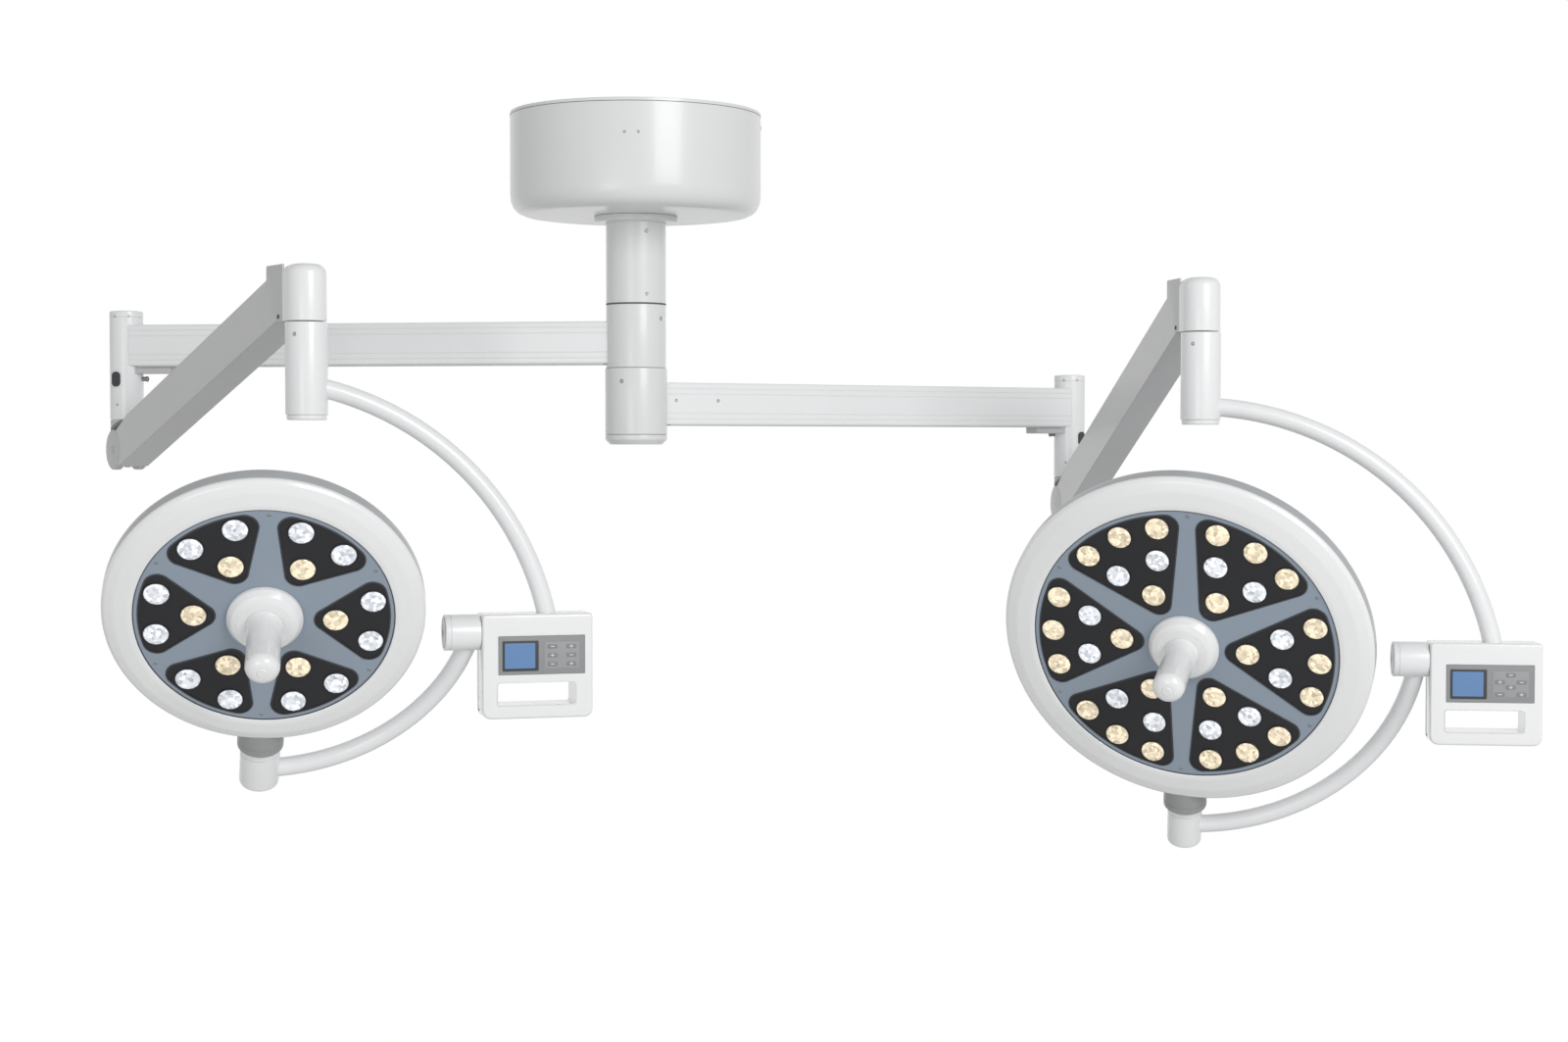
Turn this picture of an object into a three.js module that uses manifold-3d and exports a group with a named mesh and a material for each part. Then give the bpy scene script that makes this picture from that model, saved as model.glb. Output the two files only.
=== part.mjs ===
// Ceiling surgical light: one column, two swinging arms, two lamp heads in curved yokes.
// Millimetres, +Z up. The origin is on the ceiling, at the middle of the ceiling plate.
// Each lamp unit is a chain of groups, and each group's origin lies on the axis it turns about.

import * as THREE from 'three';
import { mergeVertices } from 'three/addons/utils/BufferGeometryUtils.js';
import Module from 'manifold-3d';

const wasm = await Module();
wasm.setup();

// ---------------------------------------------------------------- driving dimensions

const GAP = 0.3; // clearance between pieces that touch
const RUN = 0.5; // clearance round a turning shaft and between turning faces
const BITE = 1; // overlap of solids joined into one body, and of a cutter past the face it opens

const CEILING_PLATE = {
  radius: 150, thickness: 6, boltCircle: 115, boltHole: 5.5, cableHole: 18, cableOffset: 72,
};
const POWER_SUPPLY = { length: 150, width: 60, height: 45, offset: 100 };
const CANOPY = { radius: 180.6, height: 147.3, wall: 2.5, corner: 30, throatGap: 8.8 };
const COLLAR = { flange: 8, height: 9, chamfer: 2, neck: 6 };
const COLUMN = { radius: 43.2, wall: 4, bottom: 273.7 };
const SPINDLE = { radius: 30, bore: 22, flange: 20 };
const END_CAP = { height: 14, chamfer: 7, plug: 12 };
const BEAM = {
  height: 61.4, width: 44, wall: 3.5, corner: 4, leastCorner: 0.8, tongue: 90, tongueInset: 6,
  cableBore: 12, cableInset: 8,
};
const OUTER_HUB = {
  radius: 24.5, above: 52, below: 110, lid: 6, bore: 14, gusset: 50, gussetHeight: 11, gussetWidth: 20,
};
const BRAKE = { width: 14, height: 22, depth: 7, proud: 1.5, drop: 50, bearing: 75, flat: 1 };
const SPRING_ARM = {
  length: 648, height: 61, width: 45, wall: 3, rearTop: 22, taper: 75, block: 75, setback: 14,
};
const PIVOT = {
  drop: 155, pin: 6, pinInset: 0.5, tongue: 22, tongueTop: 16, tongueBottom: 9.2, tongueRoot: 40,
  tongueClearance: 1, drum: 30,
};
const KNUCKLE = { inset: 0.5, heel: 8, brow: 17, lip: 1, spindleRoot: 5 };
const TIE = {
  offset: 20, thick: 8, eye: 6.5, eyeClearance: 1.5, trunnion: 3, clearance: 1, cover: 3, endPlay: 1,
};
const LIFT_SPRING = {
  radius: 9.5, wire: 2, height: 12, start: 120, end: 430, turns: 9, seat: 4, seatBottom: 2,
};
const FRONT_HEAD = {
  width: 52, above: 36, below: 37, reach: 30, bore: 10, lid: 8, block: 14.5, cheek: 36, cheekLift: 5, heel: 8,
  slotTop: 24,
};
const SLEEVE = {
  radius: 27, length: 126, wall: 5, band: 6, bandStep: 1.6, bandSlope: 1, floor: 8, roof: 12, cableBore: 4,
  shaftLength: 50,
};
const TUBE = { radius: 12.5, wall: 2.5, arcs: 4, steps: 9, entry: 12, boxEntry: 10, barrelEntry: 15 };
const BOX = {
  width: 146, height: 137, depth: 50, above: 24, corner: 13, topCorner: 5, wall: 4, stub: 9, stubShort: 10,
  stubRoot: 8,
};
const PANEL = { left: 21, width: 114, top: 5, height: 50, thickness: 2.5, proud: 0.5, seat: 4 };
const DISPLAY = { left: 8, top: 9, width: 40, height: 33 };
const KEYPAD = { left: 60, top: 8, width: 47, height: 35, thickness: 1.6, sunk: 0.2 };
const KEYS = { columns: 2, rows: 3, width: 13, height: 5.5, pitchX: 25, pitchY: 11.5, proud: 0.8, root: 0.5 };
const SLOT = { left: 20, width: 103, top: 66, height: 29, corner: 4 };
const BARREL = { radius: 23.5, length: 47, end: 9 };
const COLLAR_RING = { radius: 30, height: 29, spindle: 12, embrace: 40 };
const JOINT_BLOCK = { length: 62, shaftDepth: 45, seamDrop: 10, seamWidth: 1.2 };
const SHELL = {
  wall: 3, rear: 52, domeShare: 0.7, domeRise: 4, shoulder: 36, shoulderIn: 30, waist: 16, waistIn: 14,
  edge: 4, innerStep: 1,
};
const RIM = {
  rear: 22, wall: 4, roll: 8, rollIn: 4, crown: 12.5, crownOut: 4, front: 37, lip: 4, lipIn: 7, seat: 6,
};
const FACE = { plate: 3, inset: 2, carrierInset: 6 };
const CARRIER = { thickness: 5, gap: 0.4, sunk: 0.6 };
const HANDLE_BASE = {
  radius: 47.5, proud: 17, flange: 8, tail: 4, shoulder: 5, crownIn: 12, crownDrop: 1, land: 2, stub: 11,
  stubLength: 62,
};
const HANDLE = { root: 23, tip: 21, length: 100, wall: 3, cuff: 8, cuffStep: 1, round: 14 };

// The two lamp units. Angles in degrees; azimuths are measured from +X towards +Y. The yoke clears
// the rim by barrelGap at the tilt barrel and by arcGap along the lower arc, whose centre is offset
// from the head's. The upper arc lands on the box at the given distance from the box's left side.
const UNIT_SIZES = [
  {
    name: 'left', hubHeight: 91.5, hubStep: 0, armDrop: 54.8,
    armLength: 779, armAzimuth: 171.3, brakeSide: 1, springAzimuth: -54.7, elevation: 18.2,
    yokeAzimuth: 16, axisDrop: 440, upperCentre: { x: -73, z: -63 }, landing: 98,
    tilt: 31.8, lowerOffset: { x: 6, z: -6.6 }, arcGap: 63.7, barrelGap: 35.5,
    swivelX: -55, headUp: 55, spin: -5.2,
    rimRadius: 200, rimWidth: 38.5, moduleInner: 60, moduleMargin: 5.5, jointRadius: 26,
  },
  {
    name: 'right', hubHeight: 95.5, hubStep: 1.6, armDrop: 50.8,
    armLength: 774, armAzimuth: 29.6, brakeSide: -1, springAzimuth: -79.9, elevation: 26.2,
    yokeAzimuth: -7.3, axisDrop: 479.4, upperCentre: { x: -7, z: -64 }, landing: 93.6,
    tilt: 26.7, lowerOffset: { x: 9.4, z: -18.8 }, arcGap: 45.4, barrelGap: 23.5,
    swivelX: -14, headUp: 37, spin: -12.9,
    rimRadius: 250, rimWidth: 44, moduleInner: 54, moduleMargin: 6, jointRadius: 24,
  },
];

// Sizes of a unit that follow from its neighbours: its hub hangs under whatever is above it.
function completed(unit, above) {
  const faceRadius = unit.rimRadius - unit.rimWidth;
  const barrelReach = Math.sqrt((unit.rimRadius + unit.barrelGap) ** 2 - unit.headUp ** 2);
  const boxLeft = unit.swivelX + barrelReach + BARREL.length;
  const upperRadius = boxLeft + unit.landing - unit.upperCentre.x;
  const lowerX = unit.swivelX + unit.lowerOffset.x;
  const lowerZ = unit.headUp + unit.lowerOffset.z;
  return {
    ...unit,
    hubTop: above + RUN,
    hubRadius: COLUMN.radius + unit.hubStep,
    faceRadius,
    moduleOuter: faceRadius - unit.moduleMargin,
    boxLeft,
    upperArc: { ...unit.upperCentre, radius: upperRadius },
    lowerArc: { x: lowerX, z: lowerZ, radius: unit.rimRadius + unit.arcGap },
  };
}

const UNITS = [];
let hungFrom = COLUMN.bottom;
for (const sizes of UNIT_SIZES) {
  const unit = completed(sizes, hungFrom);
  hungFrom = unit.hubTop + unit.hubHeight;
  UNITS.push(unit);
}

const CANOPY_THROAT = COLUMN.radius + CANOPY.throatGap;

const RIM_SIDES = 32; // facets round each lamp head
const MODULE = { count: 6, spoke: 21, corner: 18 };

// ---------------------------------------------------------------- materials

function finish(colour, roughness, metalness) {
  return { color: colour, roughness, metalness };
}

const WHITE = finish(0xf2f3f3, 0.3, 0.05);
const GLOSS_WHITE = finish(0xf6f7f7, 0.15, 0.0);
const SHELL_GREY = finish(0xb4b8ba, 0.4, 0.1);
const JOINT_GREY = finish(0x9a9d9c, 0.45, 0.1);
const FACE_BLUE = finish(0x8c9aa8, 0.4, 0.1);
const BLACK = finish(0x16181c, 0.35, 0.0);
const DARK = finish(0x3a3d40, 0.5, 0.3);
const STEEL = finish(0xa9acae, 0.35, 0.9);
const PANEL_GREY = finish(0xa3a5a7, 0.5, 0.1);

// ---------------------------------------------------------------- solids

function radians(degrees) {
  return THREE.MathUtils.degToRad(degrees);
}

// Six times the signed volume of an indexed mesh: negative when its faces point inwards.
function signedVolume(positions, indices) {
  const a = new THREE.Vector3();
  const b = new THREE.Vector3();
  const c = new THREE.Vector3();
  let sum = 0;
  for (let i = 0; i < indices.length; i += 3) {
    a.fromArray(positions, 3 * indices[i]);
    b.fromArray(positions, 3 * indices[i + 1]);
    c.fromArray(positions, 3 * indices[i + 2]);
    sum += a.dot(b.cross(c));
  }
  return sum;
}

// A closed three.js geometry as a solid, with its faces turned outwards.
function solid(geometry) {
  const bare = geometry.clone();
  bare.deleteAttribute('normal');
  bare.deleteAttribute('uv');
  const merged = mergeVertices(bare, 1e-3);
  const positions = Float32Array.from(merged.attributes.position.array);
  const indices = Uint32Array.from(merged.index.array);
  if (signedVolume(positions, indices) < 0) {
    indices.reverse();
  }
  return new wasm.Manifold(new wasm.Mesh({ numProp: 3, vertProperties: positions, triVerts: indices }));
}

function geometryOf(body) {
  const mesh = body.getMesh();
  const geometry = new THREE.BufferGeometry();
  geometry.setAttribute('position', new THREE.BufferAttribute(mesh.vertProperties, 3));
  geometry.setIndex(new THREE.BufferAttribute(mesh.triVerts, 1));
  return geometry;
}

function join(first, ...others) {
  return others.reduce((sum, body) => sum.add(body), first);
}

function cut(first, ...tools) {
  return tools.reduce((rest, tool) => rest.subtract(tool), first);
}

// A box given by its lowest and highest corners.
function block(low, high) {
  const size = high.map((value, axis) => value - low[axis]);
  const geometry = new THREE.BoxGeometry(...size);
  geometry.translate(...low.map((value, axis) => value + size[axis] / 2));
  return solid(geometry);
}

// A cylinder of the given radius about an axis ('x', 'y' or 'z'), from one coordinate to another.
function rod(axis, radius, from, to, centre = [0, 0, 0], sides = 20) {
  const geometry = new THREE.CylinderGeometry(radius, radius, to - from, sides);
  if (axis === 'x') geometry.rotateZ(-Math.PI / 2);
  if (axis === 'z') geometry.rotateX(Math.PI / 2);
  const middle = [...centre];
  middle['xyz'.indexOf(axis)] += (from + to) / 2;
  geometry.translate(...middle);
  return solid(geometry);
}

// A solid of revolution about Z. Profile points are [radius, height].
function turned(profile, sides = 20) {
  const points = profile.map(([radius, height]) => new THREE.Vector2(radius, height));
  const closesOnAxis = profile[0][0] === 0 && profile[profile.length - 1][0] === 0;
  if (!closesOnAxis) points.push(points[0].clone());
  const geometry = new THREE.LatheGeometry(points, sides);
  geometry.rotateX(Math.PI / 2);
  return solid(geometry);
}

// An outline in X and Y, extruded along Z.
function prism(shape, from, to, curveSegments = 6) {
  const options = { depth: to - from, bevelEnabled: false, curveSegments };
  const geometry = new THREE.ExtrudeGeometry(shape, options);
  geometry.translate(0, 0, from);
  return solid(geometry);
}

// An outline in X and Z, extruded symmetrically along Y to the given width.
function sideways(shape, width, curveSegments = 6) {
  const geometry = new THREE.ExtrudeGeometry(shape, { depth: width, bevelEnabled: false, curveSegments });
  geometry.rotateX(Math.PI / 2);
  geometry.translate(0, width / 2, 0);
  return solid(geometry);
}

function polygon(points) {
  return new THREE.Shape(points.map(([x, y]) => new THREE.Vector2(x, y)));
}

// A rectangle with rounded corners, given by its edges.
function roundedRectangle(left, bottom, right, top, corner) {
  const shape = new THREE.Shape();
  shape.moveTo(left + corner, bottom);
  shape.lineTo(right - corner, bottom);
  shape.absarc(right - corner, bottom + corner, corner, -Math.PI / 2, 0);
  shape.lineTo(right, top - corner);
  shape.absarc(right - corner, top - corner, corner, 0, Math.PI / 2);
  shape.lineTo(left + corner, top);
  shape.absarc(left + corner, top - corner, corner, Math.PI / 2, Math.PI);
  shape.lineTo(left, bottom + corner);
  shape.absarc(left + corner, bottom + corner, corner, Math.PI, 1.5 * Math.PI);
  return shape;
}

// Points of a circular arc as [x, y] pairs, angles in degrees.
function arcPoints(x, y, radius, from, to, steps) {
  const points = [];
  for (let i = 0; i <= steps; i += 1) {
    const angle = radians(from + ((to - from) * i) / steps);
    points.push([x + radius * Math.cos(angle), y + radius * Math.sin(angle)]);
  }
  return points;
}

// A circular arc in the XZ plane, from one angle to another.
class ArcPath extends THREE.Curve {
  constructor(arc, from, to) {
    super();
    this.arc = arc;
    this.from = radians(from);
    this.to = radians(to);
  }

  getPoint(t, target = new THREE.Vector3()) {
    const angle = this.from + (this.to - this.from) * t;
    const x = this.arc.x + this.arc.radius * Math.cos(angle);
    const z = this.arc.z + this.arc.radius * Math.sin(angle);
    return target.set(x, 0, z);
  }
}

// A round tube along an arc.
function bentTube(arc, from, to) {
  const section = new THREE.Shape();
  section.absarc(0, 0, TUBE.radius, 0, 2 * Math.PI);
  const bore = new THREE.Path();
  bore.absarc(0, 0, TUBE.radius - TUBE.wall, 0, 2 * Math.PI, true);
  section.holes.push(bore);
  const path = new ArcPath(arc, from, to);
  const options = { extrudePath: path, steps: TUBE.steps, bevelEnabled: false, curveSegments: TUBE.arcs };
  return solid(new THREE.ExtrudeGeometry(section, options));
}

// Angle, in degrees, at which an arc reaches the given x or z coordinate.
function angleAtX(arc, x) {
  return THREE.MathUtils.radToDeg(Math.acos((x - arc.x) / arc.radius));
}

function angleAtZ(arc, z) {
  return THREE.MathUtils.radToDeg(Math.asin((z - arc.z) / arc.radius));
}

// ---------------------------------------------------------------- scene graph

const light = new THREE.Group();

function place(group, name, body, look) {
  const mesh = new THREE.Mesh(geometryOf(body), new THREE.MeshStandardMaterial(look));
  mesh.name = name;
  group.add(mesh);
  return mesh;
}

function frameAt(parent, position, rotation = [0, 0, 0]) {
  const group = new THREE.Group();
  group.position.set(...position);
  group.rotation.set(...rotation);
  parent.add(group);
  return group;
}

// ---------------------------------------------------------------- ceiling fixture and column

function ceilingPlate() {
  const { radius, thickness, boltCircle, boltHole, cableHole, cableOffset } = CEILING_PLATE;
  let plate = rod('z', radius, -thickness, 0, [0, 0, 0], 16);
  for (const quarter of [0, 1, 2, 3]) {
    const angle = radians(45 + 90 * quarter);
    const centre = [boltCircle * Math.cos(angle), boltCircle * Math.sin(angle), 0];
    plate = cut(plate, rod('z', boltHole, -thickness - BITE, BITE, centre, 10));
  }
  return cut(plate, rod('z', cableHole, -thickness - BITE, BITE, [0, cableOffset, 0], 16));
}

function powerSupply() {
  const { length, width, height, offset } = POWER_SUPPLY;
  const top = -CEILING_PLATE.thickness - GAP;
  return block([-offset - width / 2, -length / 2, top - height], [-offset + width / 2, length / 2, top]);
}

function canopy() {
  const { radius, height, wall, corner } = CANOPY;
  const outer = arcPoints(radius - corner, corner - height, corner, 0, -90, 3);
  const inner = arcPoints(radius - corner, corner - height, corner - wall, -90, 0, 2);
  const floor = [[CANOPY_THROAT, -height], [CANOPY_THROAT, wall - height]];
  return turned([[radius, 0], ...outer, ...floor, ...inner, [radius - wall, 0]], RIM_SIDES);
}

function canopyCollar() {
  const neck = CANOPY_THROAT - GAP;
  const radius = CANOPY_THROAT + COLLAR.flange;
  const bore = COLUMN.radius + GAP;
  const top = -CANOPY.height - GAP;
  const bottom = top - COLLAR.height;
  const neckTop = top + CANOPY.wall + COLLAR.neck;
  const { chamfer } = COLLAR;
  const profile = [
    [bore, bottom], [radius - chamfer, bottom], [radius, bottom + chamfer],
    [radius, top], [neck, top], [neck, neckTop], [bore, neckTop],
  ];
  return turned(profile);
}

function columnTube() {
  const top = -CEILING_PLATE.thickness - GAP;
  const inner = COLUMN.radius - COLUMN.wall;
  const outer = COLUMN.radius;
  const bottom = -COLUMN.bottom;
  return turned([[inner, top], [inner, bottom], [outer, bottom], [outer, top]]);
}

const lastUnit = UNITS[UNITS.length - 1];
const hubsBottom = -(lastUnit.hubTop + lastUnit.hubHeight);

function columnSpindle() {
  const { radius, bore, flange } = SPINDLE;
  const top = -COLUMN.bottom + flange;
  const wide = COLUMN.radius - COLUMN.wall - GAP;
  const floor = -COLUMN.bottom + RUN;
  const bottom = hubsBottom + GAP;
  return turned([
    [bore, top], [bore, bottom], [radius, bottom], [radius, floor], [wide, floor], [wide, top],
  ]);
}

function columnEndCap() {
  const top = hubsBottom - RUN;
  const { height, chamfer, plug } = END_CAP;
  const snug = SPINDLE.bore - GAP;
  const wide = lastUnit.hubRadius;
  const profile = [
    [0, top - height], [wide - chamfer, top - height], [wide, top - height + chamfer], [wide, top],
    [snug, top], [snug, top + plug], [0, top + plug],
  ];
  return turned(profile);
}

// ---------------------------------------------------------------- extension arm
// Origin: column axis at the height of the beam's middle. The beam runs along +X.

function beamSection(inset) {
  const y = BEAM.width / 2 - inset;
  const z = BEAM.height / 2 - inset;
  return roundedRectangle(-z, -y, z, y, Math.max(BEAM.corner - inset, BEAM.leastCorner));
}

// The outline lies in XY, so it is extruded along Z and then laid along X.
function beamSolid(inset, from, to) {
  const geometry = new THREE.ExtrudeGeometry(beamSection(inset), {
    depth: to - from, bevelEnabled: false, curveSegments: 2,
  });
  geometry.translate(0, 0, from);
  geometry.rotateY(Math.PI / 2);
  return solid(geometry);
}

function armHub(unit) {
  const top = unit.armDrop;
  const bottom = unit.armDrop - unit.hubHeight;
  const bore = SPINDLE.radius + RUN;
  const ring = turned([[bore, top], [bore, bottom], [unit.hubRadius, bottom], [unit.hubRadius, top]]);
  const end = unit.hubRadius + BEAM.tongue;
  const tongue = beamSolid(BEAM.wall + GAP, bore + BEAM.tongueInset, end);
  const cableWay = rod('x', BEAM.cableBore, bore + BEAM.cableInset, end + BITE, [0, 0, 0], 16);
  return cut(join(ring, tongue), cableWay);
}

function armBeam(unit) {
  const tube = cut(beamSolid(0, 0, unit.armLength), beamSolid(BEAM.wall, -BITE, unit.armLength + BITE));
  const hub = rod('z', unit.hubRadius + GAP, -BEAM.height, BEAM.height, [0, 0, 0], 32);
  const outer = rod('z', OUTER_HUB.radius + GAP, -BEAM.height, BEAM.height, [unit.armLength, 0, 0]);
  return cut(tube, hub, outer);
}

// Origin: axis of the outer hub at the height of the beam's middle. The beam lies towards -X.

function outerHub() {
  const { radius, above, below, lid, bore, gusset, gussetHeight, gussetWidth } = OUTER_HUB;
  const barrel = rod('z', radius, -below, above);
  const tongue = beamSolid(BEAM.wall + GAP, -radius - BEAM.tongue, -bore);
  const under = -BEAM.height / 2 - GAP;
  const side = gussetWidth / 2;
  const web = block([-radius - gusset, -side, under - gussetHeight], [-bore, side, under]);
  return cut(join(barrel, tongue, web), rod('z', bore, -below - BITE, above - lid));
}

// The brake sits in a pocket on the hub's side, in a frame whose +X points out of the pocket.
function brakeBody(growth) {
  const { width, height, depth, proud, drop, flat } = BRAKE;
  const y = width / 2 + growth;
  const z = height / 2 + growth;
  const shape = roundedRectangle(-z, -y, z, y, y - flat);
  const options = { depth: depth + 2 * growth, bevelEnabled: false, curveSegments: 4 };
  const geometry = new THREE.ExtrudeGeometry(shape, options);
  geometry.rotateY(Math.PI / 2);
  geometry.translate(OUTER_HUB.radius + proud - depth - growth, 0, -drop);
  return solid(geometry);
}

// ---------------------------------------------------------------- spring arm
// Both ends turn on a drum: the arm ends in a hollow arc round the drum, and its tongue
// enters the drum's slot. Origin of each drum: its pivot pin. The arm runs along +X.

const drumSlot = PIVOT.tongue / 2 + RUN;

function drum(width) {
  return rod('y', PIVOT.drum, -width / 2, width / 2);
}

// Holes for the pivot pin and, below it, for the tie rod's cross pin.
function pivotHoles(width) {
  const through = rod('y', PIVOT.pin + GAP, -width, width, [0, 0, 0], 16);
  const reach = SPRING_ARM.width / 2 - TIE.cover;
  const blind = rod('y', TIE.trunnion + GAP, -reach, reach, [0, 0, -TIE.offset], 16);
  return join(through, blind);
}

function rearKnuckle() {
  const { inset, heel, brow, lip, spindleRoot } = KNUCKLE;
  const up = PIVOT.drop - OUTER_HUB.below - RUN;
  const deep = OUTER_HUB.radius - inset;
  const far = 2 * PIVOT.drum;
  const outline = polygon([
    [-deep, -heel], [-heel, 0], [-heel, PIVOT.drum], [brow, up - lip], [brow, up], [-deep, up],
  ]);
  const neck = sideways(outline, SPRING_ARM.width).intersect(rod('z', deep, -far, up));
  const spindleTop = PIVOT.drop + OUTER_HUB.above - OUTER_HUB.lid - GAP;
  const spindle = rod('z', OUTER_HUB.bore - RUN, up - spindleRoot, spindleTop);
  const slotBack = PIVOT.tongueTop + PIVOT.tongueClearance;
  const slot = block([-slotBack, -drumSlot, -far], [far, drumSlot, PIVOT.drum + BITE]);
  return cut(join(drum(SPRING_ARM.width), neck, spindle), slot, pivotHoles(SPRING_ARM.width));
}

function pivotPin(width) {
  return rod('y', PIVOT.pin, PIVOT.pinInset - width / 2, width / 2 - PIVOT.pinInset, [0, 0, 0], 16);
}

function springArm() {
  const { length, height, width, wall, rearTop, taper, block: end, setback } = SPRING_ARM;
  const half = height / 2;
  const side = width / 2 - wall;
  const tieSide = TIE.thick / 2 + TIE.clearance;
  const rear = [[setback, -half], [setback, rearTop], [taper, half]];
  const front = [[length - setback, half], [length - setback, -half]];
  const shell = sideways(polygon([...rear, ...front]), width);
  const cavity = block([end, -side, wall - half], [length - end, side, half - wall]);
  const channel = block([0, -tieSide, wall - half], [length, tieSide, -PIVOT.tongueBottom]);
  const { seat, seatBottom, start: springStart, end: springEnd } = LIFT_SPRING;
  const seats = [springStart - seat, springEnd].map((x) => (
    block([x, BITE - width / 2, -seatBottom], [x + seat, width / 2 - BITE, half - BITE])
  ));
  const tongues = [0, length].map((x) => {
    const inward = x === 0 ? 1 : -1;
    const round = arcPoints(0, 0, PIVOT.tongueTop, 90, 270, 12);
    const profile = round.filter(([, z]) => z > -PIVOT.tongueBottom);
    profile.unshift([PIVOT.tongueRoot, PIVOT.tongueTop]);
    const back = Math.sqrt(PIVOT.tongueTop ** 2 - PIVOT.tongueBottom ** 2);
    profile.push([-back, -PIVOT.tongueBottom], [PIVOT.tongueRoot, -PIVOT.tongueBottom]);
    const outline = polygon(profile.map(([px, pz]) => [x + inward * px, pz]));
    return cut(sideways(outline, PIVOT.tongue), rod('y', PIVOT.pin + GAP, -width, width, [x, 0, 0], 24));
  });
  const drums = [0, length].map((x) => rod('y', PIVOT.drum + 2 * GAP, -width, width, [x, 0, 0]));
  return join(cut(shell, cavity, channel, ...drums), ...seats, ...tongues);
}

// Origin: the tie rod's rear cross pin, straight below the arm's rear pivot.
function tieRod() {
  const half = TIE.thick / 2;
  const bar = block([0, -half, -half], [SPRING_ARM.length, half, half]);
  const ends = [0, SPRING_ARM.length].map((x) => {
    const reach = SPRING_ARM.width / 2 - TIE.cover - TIE.endPlay;
    const eye = rod('y', TIE.eye, -half, half, [x, 0, 0], 12);
    return join(eye, rod('y', TIE.trunnion, -reach, reach, [x, 0, 0], 12));
  });
  return join(bar, ...ends);
}

// A coil spring along X.
class CoilPath extends THREE.Curve {
  getPoint(t, target = new THREE.Vector3()) {
    const { radius, wire, start, end, turns, height } = LIFT_SPRING;
    const from = start + wire + GAP;
    const to = end - wire - GAP;
    const angle = 2 * Math.PI * turns * t;
    return target.set(from + (to - from) * t, radius * Math.cos(angle), height + radius * Math.sin(angle));
  }
}

function liftSpring() {
  const section = new THREE.Shape();
  section.absarc(0, 0, LIFT_SPRING.wire, 0, 2 * Math.PI);
  const steps = 5 * LIFT_SPRING.turns;
  const options = { extrudePath: new CoilPath(), steps, bevelEnabled: false, curveSegments: 2 };
  return solid(new THREE.ExtrudeGeometry(section, options));
}

function frontHead() {
  const { width, above, below, reach, bore, lid, block: rear, cheek, cheekLift, heel, slotTop } = FRONT_HEAD;
  const half = width / 2;
  const plan = polygon([[rear, -half], ...arcPoints(reach, 0, half, -90, 90, 10), [rear, half]]);
  const body = prism(plan, -below, above);
  const root = rear + BITE;
  const side = polygon([
    [-cheek, cheekLift], [-cheek, above], [root, above], [root, -below], [-heel, -below],
  ]);
  const armSide = SPRING_ARM.width / 2 + RUN;
  const far = 2 * PIVOT.drum;
  const armSpace = block([-cheek - BITE, -armSide, -far], [rear, armSide, far]);
  const cheeks = cut(sideways(side, width), armSpace);
  const slotFront = PIVOT.tongueTop + PIVOT.tongueClearance;
  const slotFloor = -TIE.offset - TIE.eye - TIE.eyeClearance;
  const slot = join(
    block([-far, -drumSlot, -far], [0, drumSlot, far]),
    block([-BITE, -drumSlot, slotFloor], [slotFront, drumSlot, slotTop]),
  );
  const bearing = rod('z', bore + RUN, -below - BITE, above - lid, [reach, 0, 0]);
  return cut(join(cheeks, drum(width), body), slot, bearing, pivotHoles(width));
}

// ---------------------------------------------------------------- yoke
// Origin: sleeve axis at the height of the tilt axis. The box lies along +X, its front faces -Y.

function sleeve(top) {
  const { radius, length, wall, band, bandStep, bandSlope, floor, roof, cableBore, shaftLength } = SLEEVE;
  const shaft = FRONT_HEAD.bore;
  const bottom = top - length;
  const inside = radius - wall;
  const profile = [
    [cableBore, top + shaftLength], [cableBore, top - roof], [inside, top - roof - floor],
    [inside, bottom + floor], [0, bottom + floor], [0, bottom],
    [radius - bandStep, bottom], [radius - bandStep, bottom + band], [radius, bottom + band + bandSlope],
    [radius, top], [shaft, top], [shaft, top + shaftLength],
  ];
  const points = profile.map(([x, y]) => new THREE.Vector2(x, y));
  points.push(points[0].clone());
  const geometry = new THREE.LatheGeometry(points, 20);
  geometry.rotateX(Math.PI / 2);
  return solid(geometry);
}

function upperArc(unit) {
  const from = angleAtX(unit.upperArc, SLEEVE.radius - TUBE.entry);
  const to = angleAtZ(unit.upperArc, BOX.above - TUBE.boxEntry);
  const tube = bentTube(unit.upperArc, from, to);
  const sleeveSpace = rod('z', SLEEVE.radius + GAP, 0, unit.axisDrop);
  const boxRight = unit.boxLeft + BOX.width;
  const boxSpace = block([unit.boxLeft, -BOX.depth, -BOX.depth], [boxRight, BOX.depth, BOX.above + GAP]);
  return cut(tube, sleeveSpace, boxSpace);
}

// Front outline of the box, in X and Z.
function boxFront(unit) {
  const left = unit.boxLeft;
  return roundedRectangle(left, BOX.above - BOX.height, left + BOX.width, BOX.above, BOX.corner);
}

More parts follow.
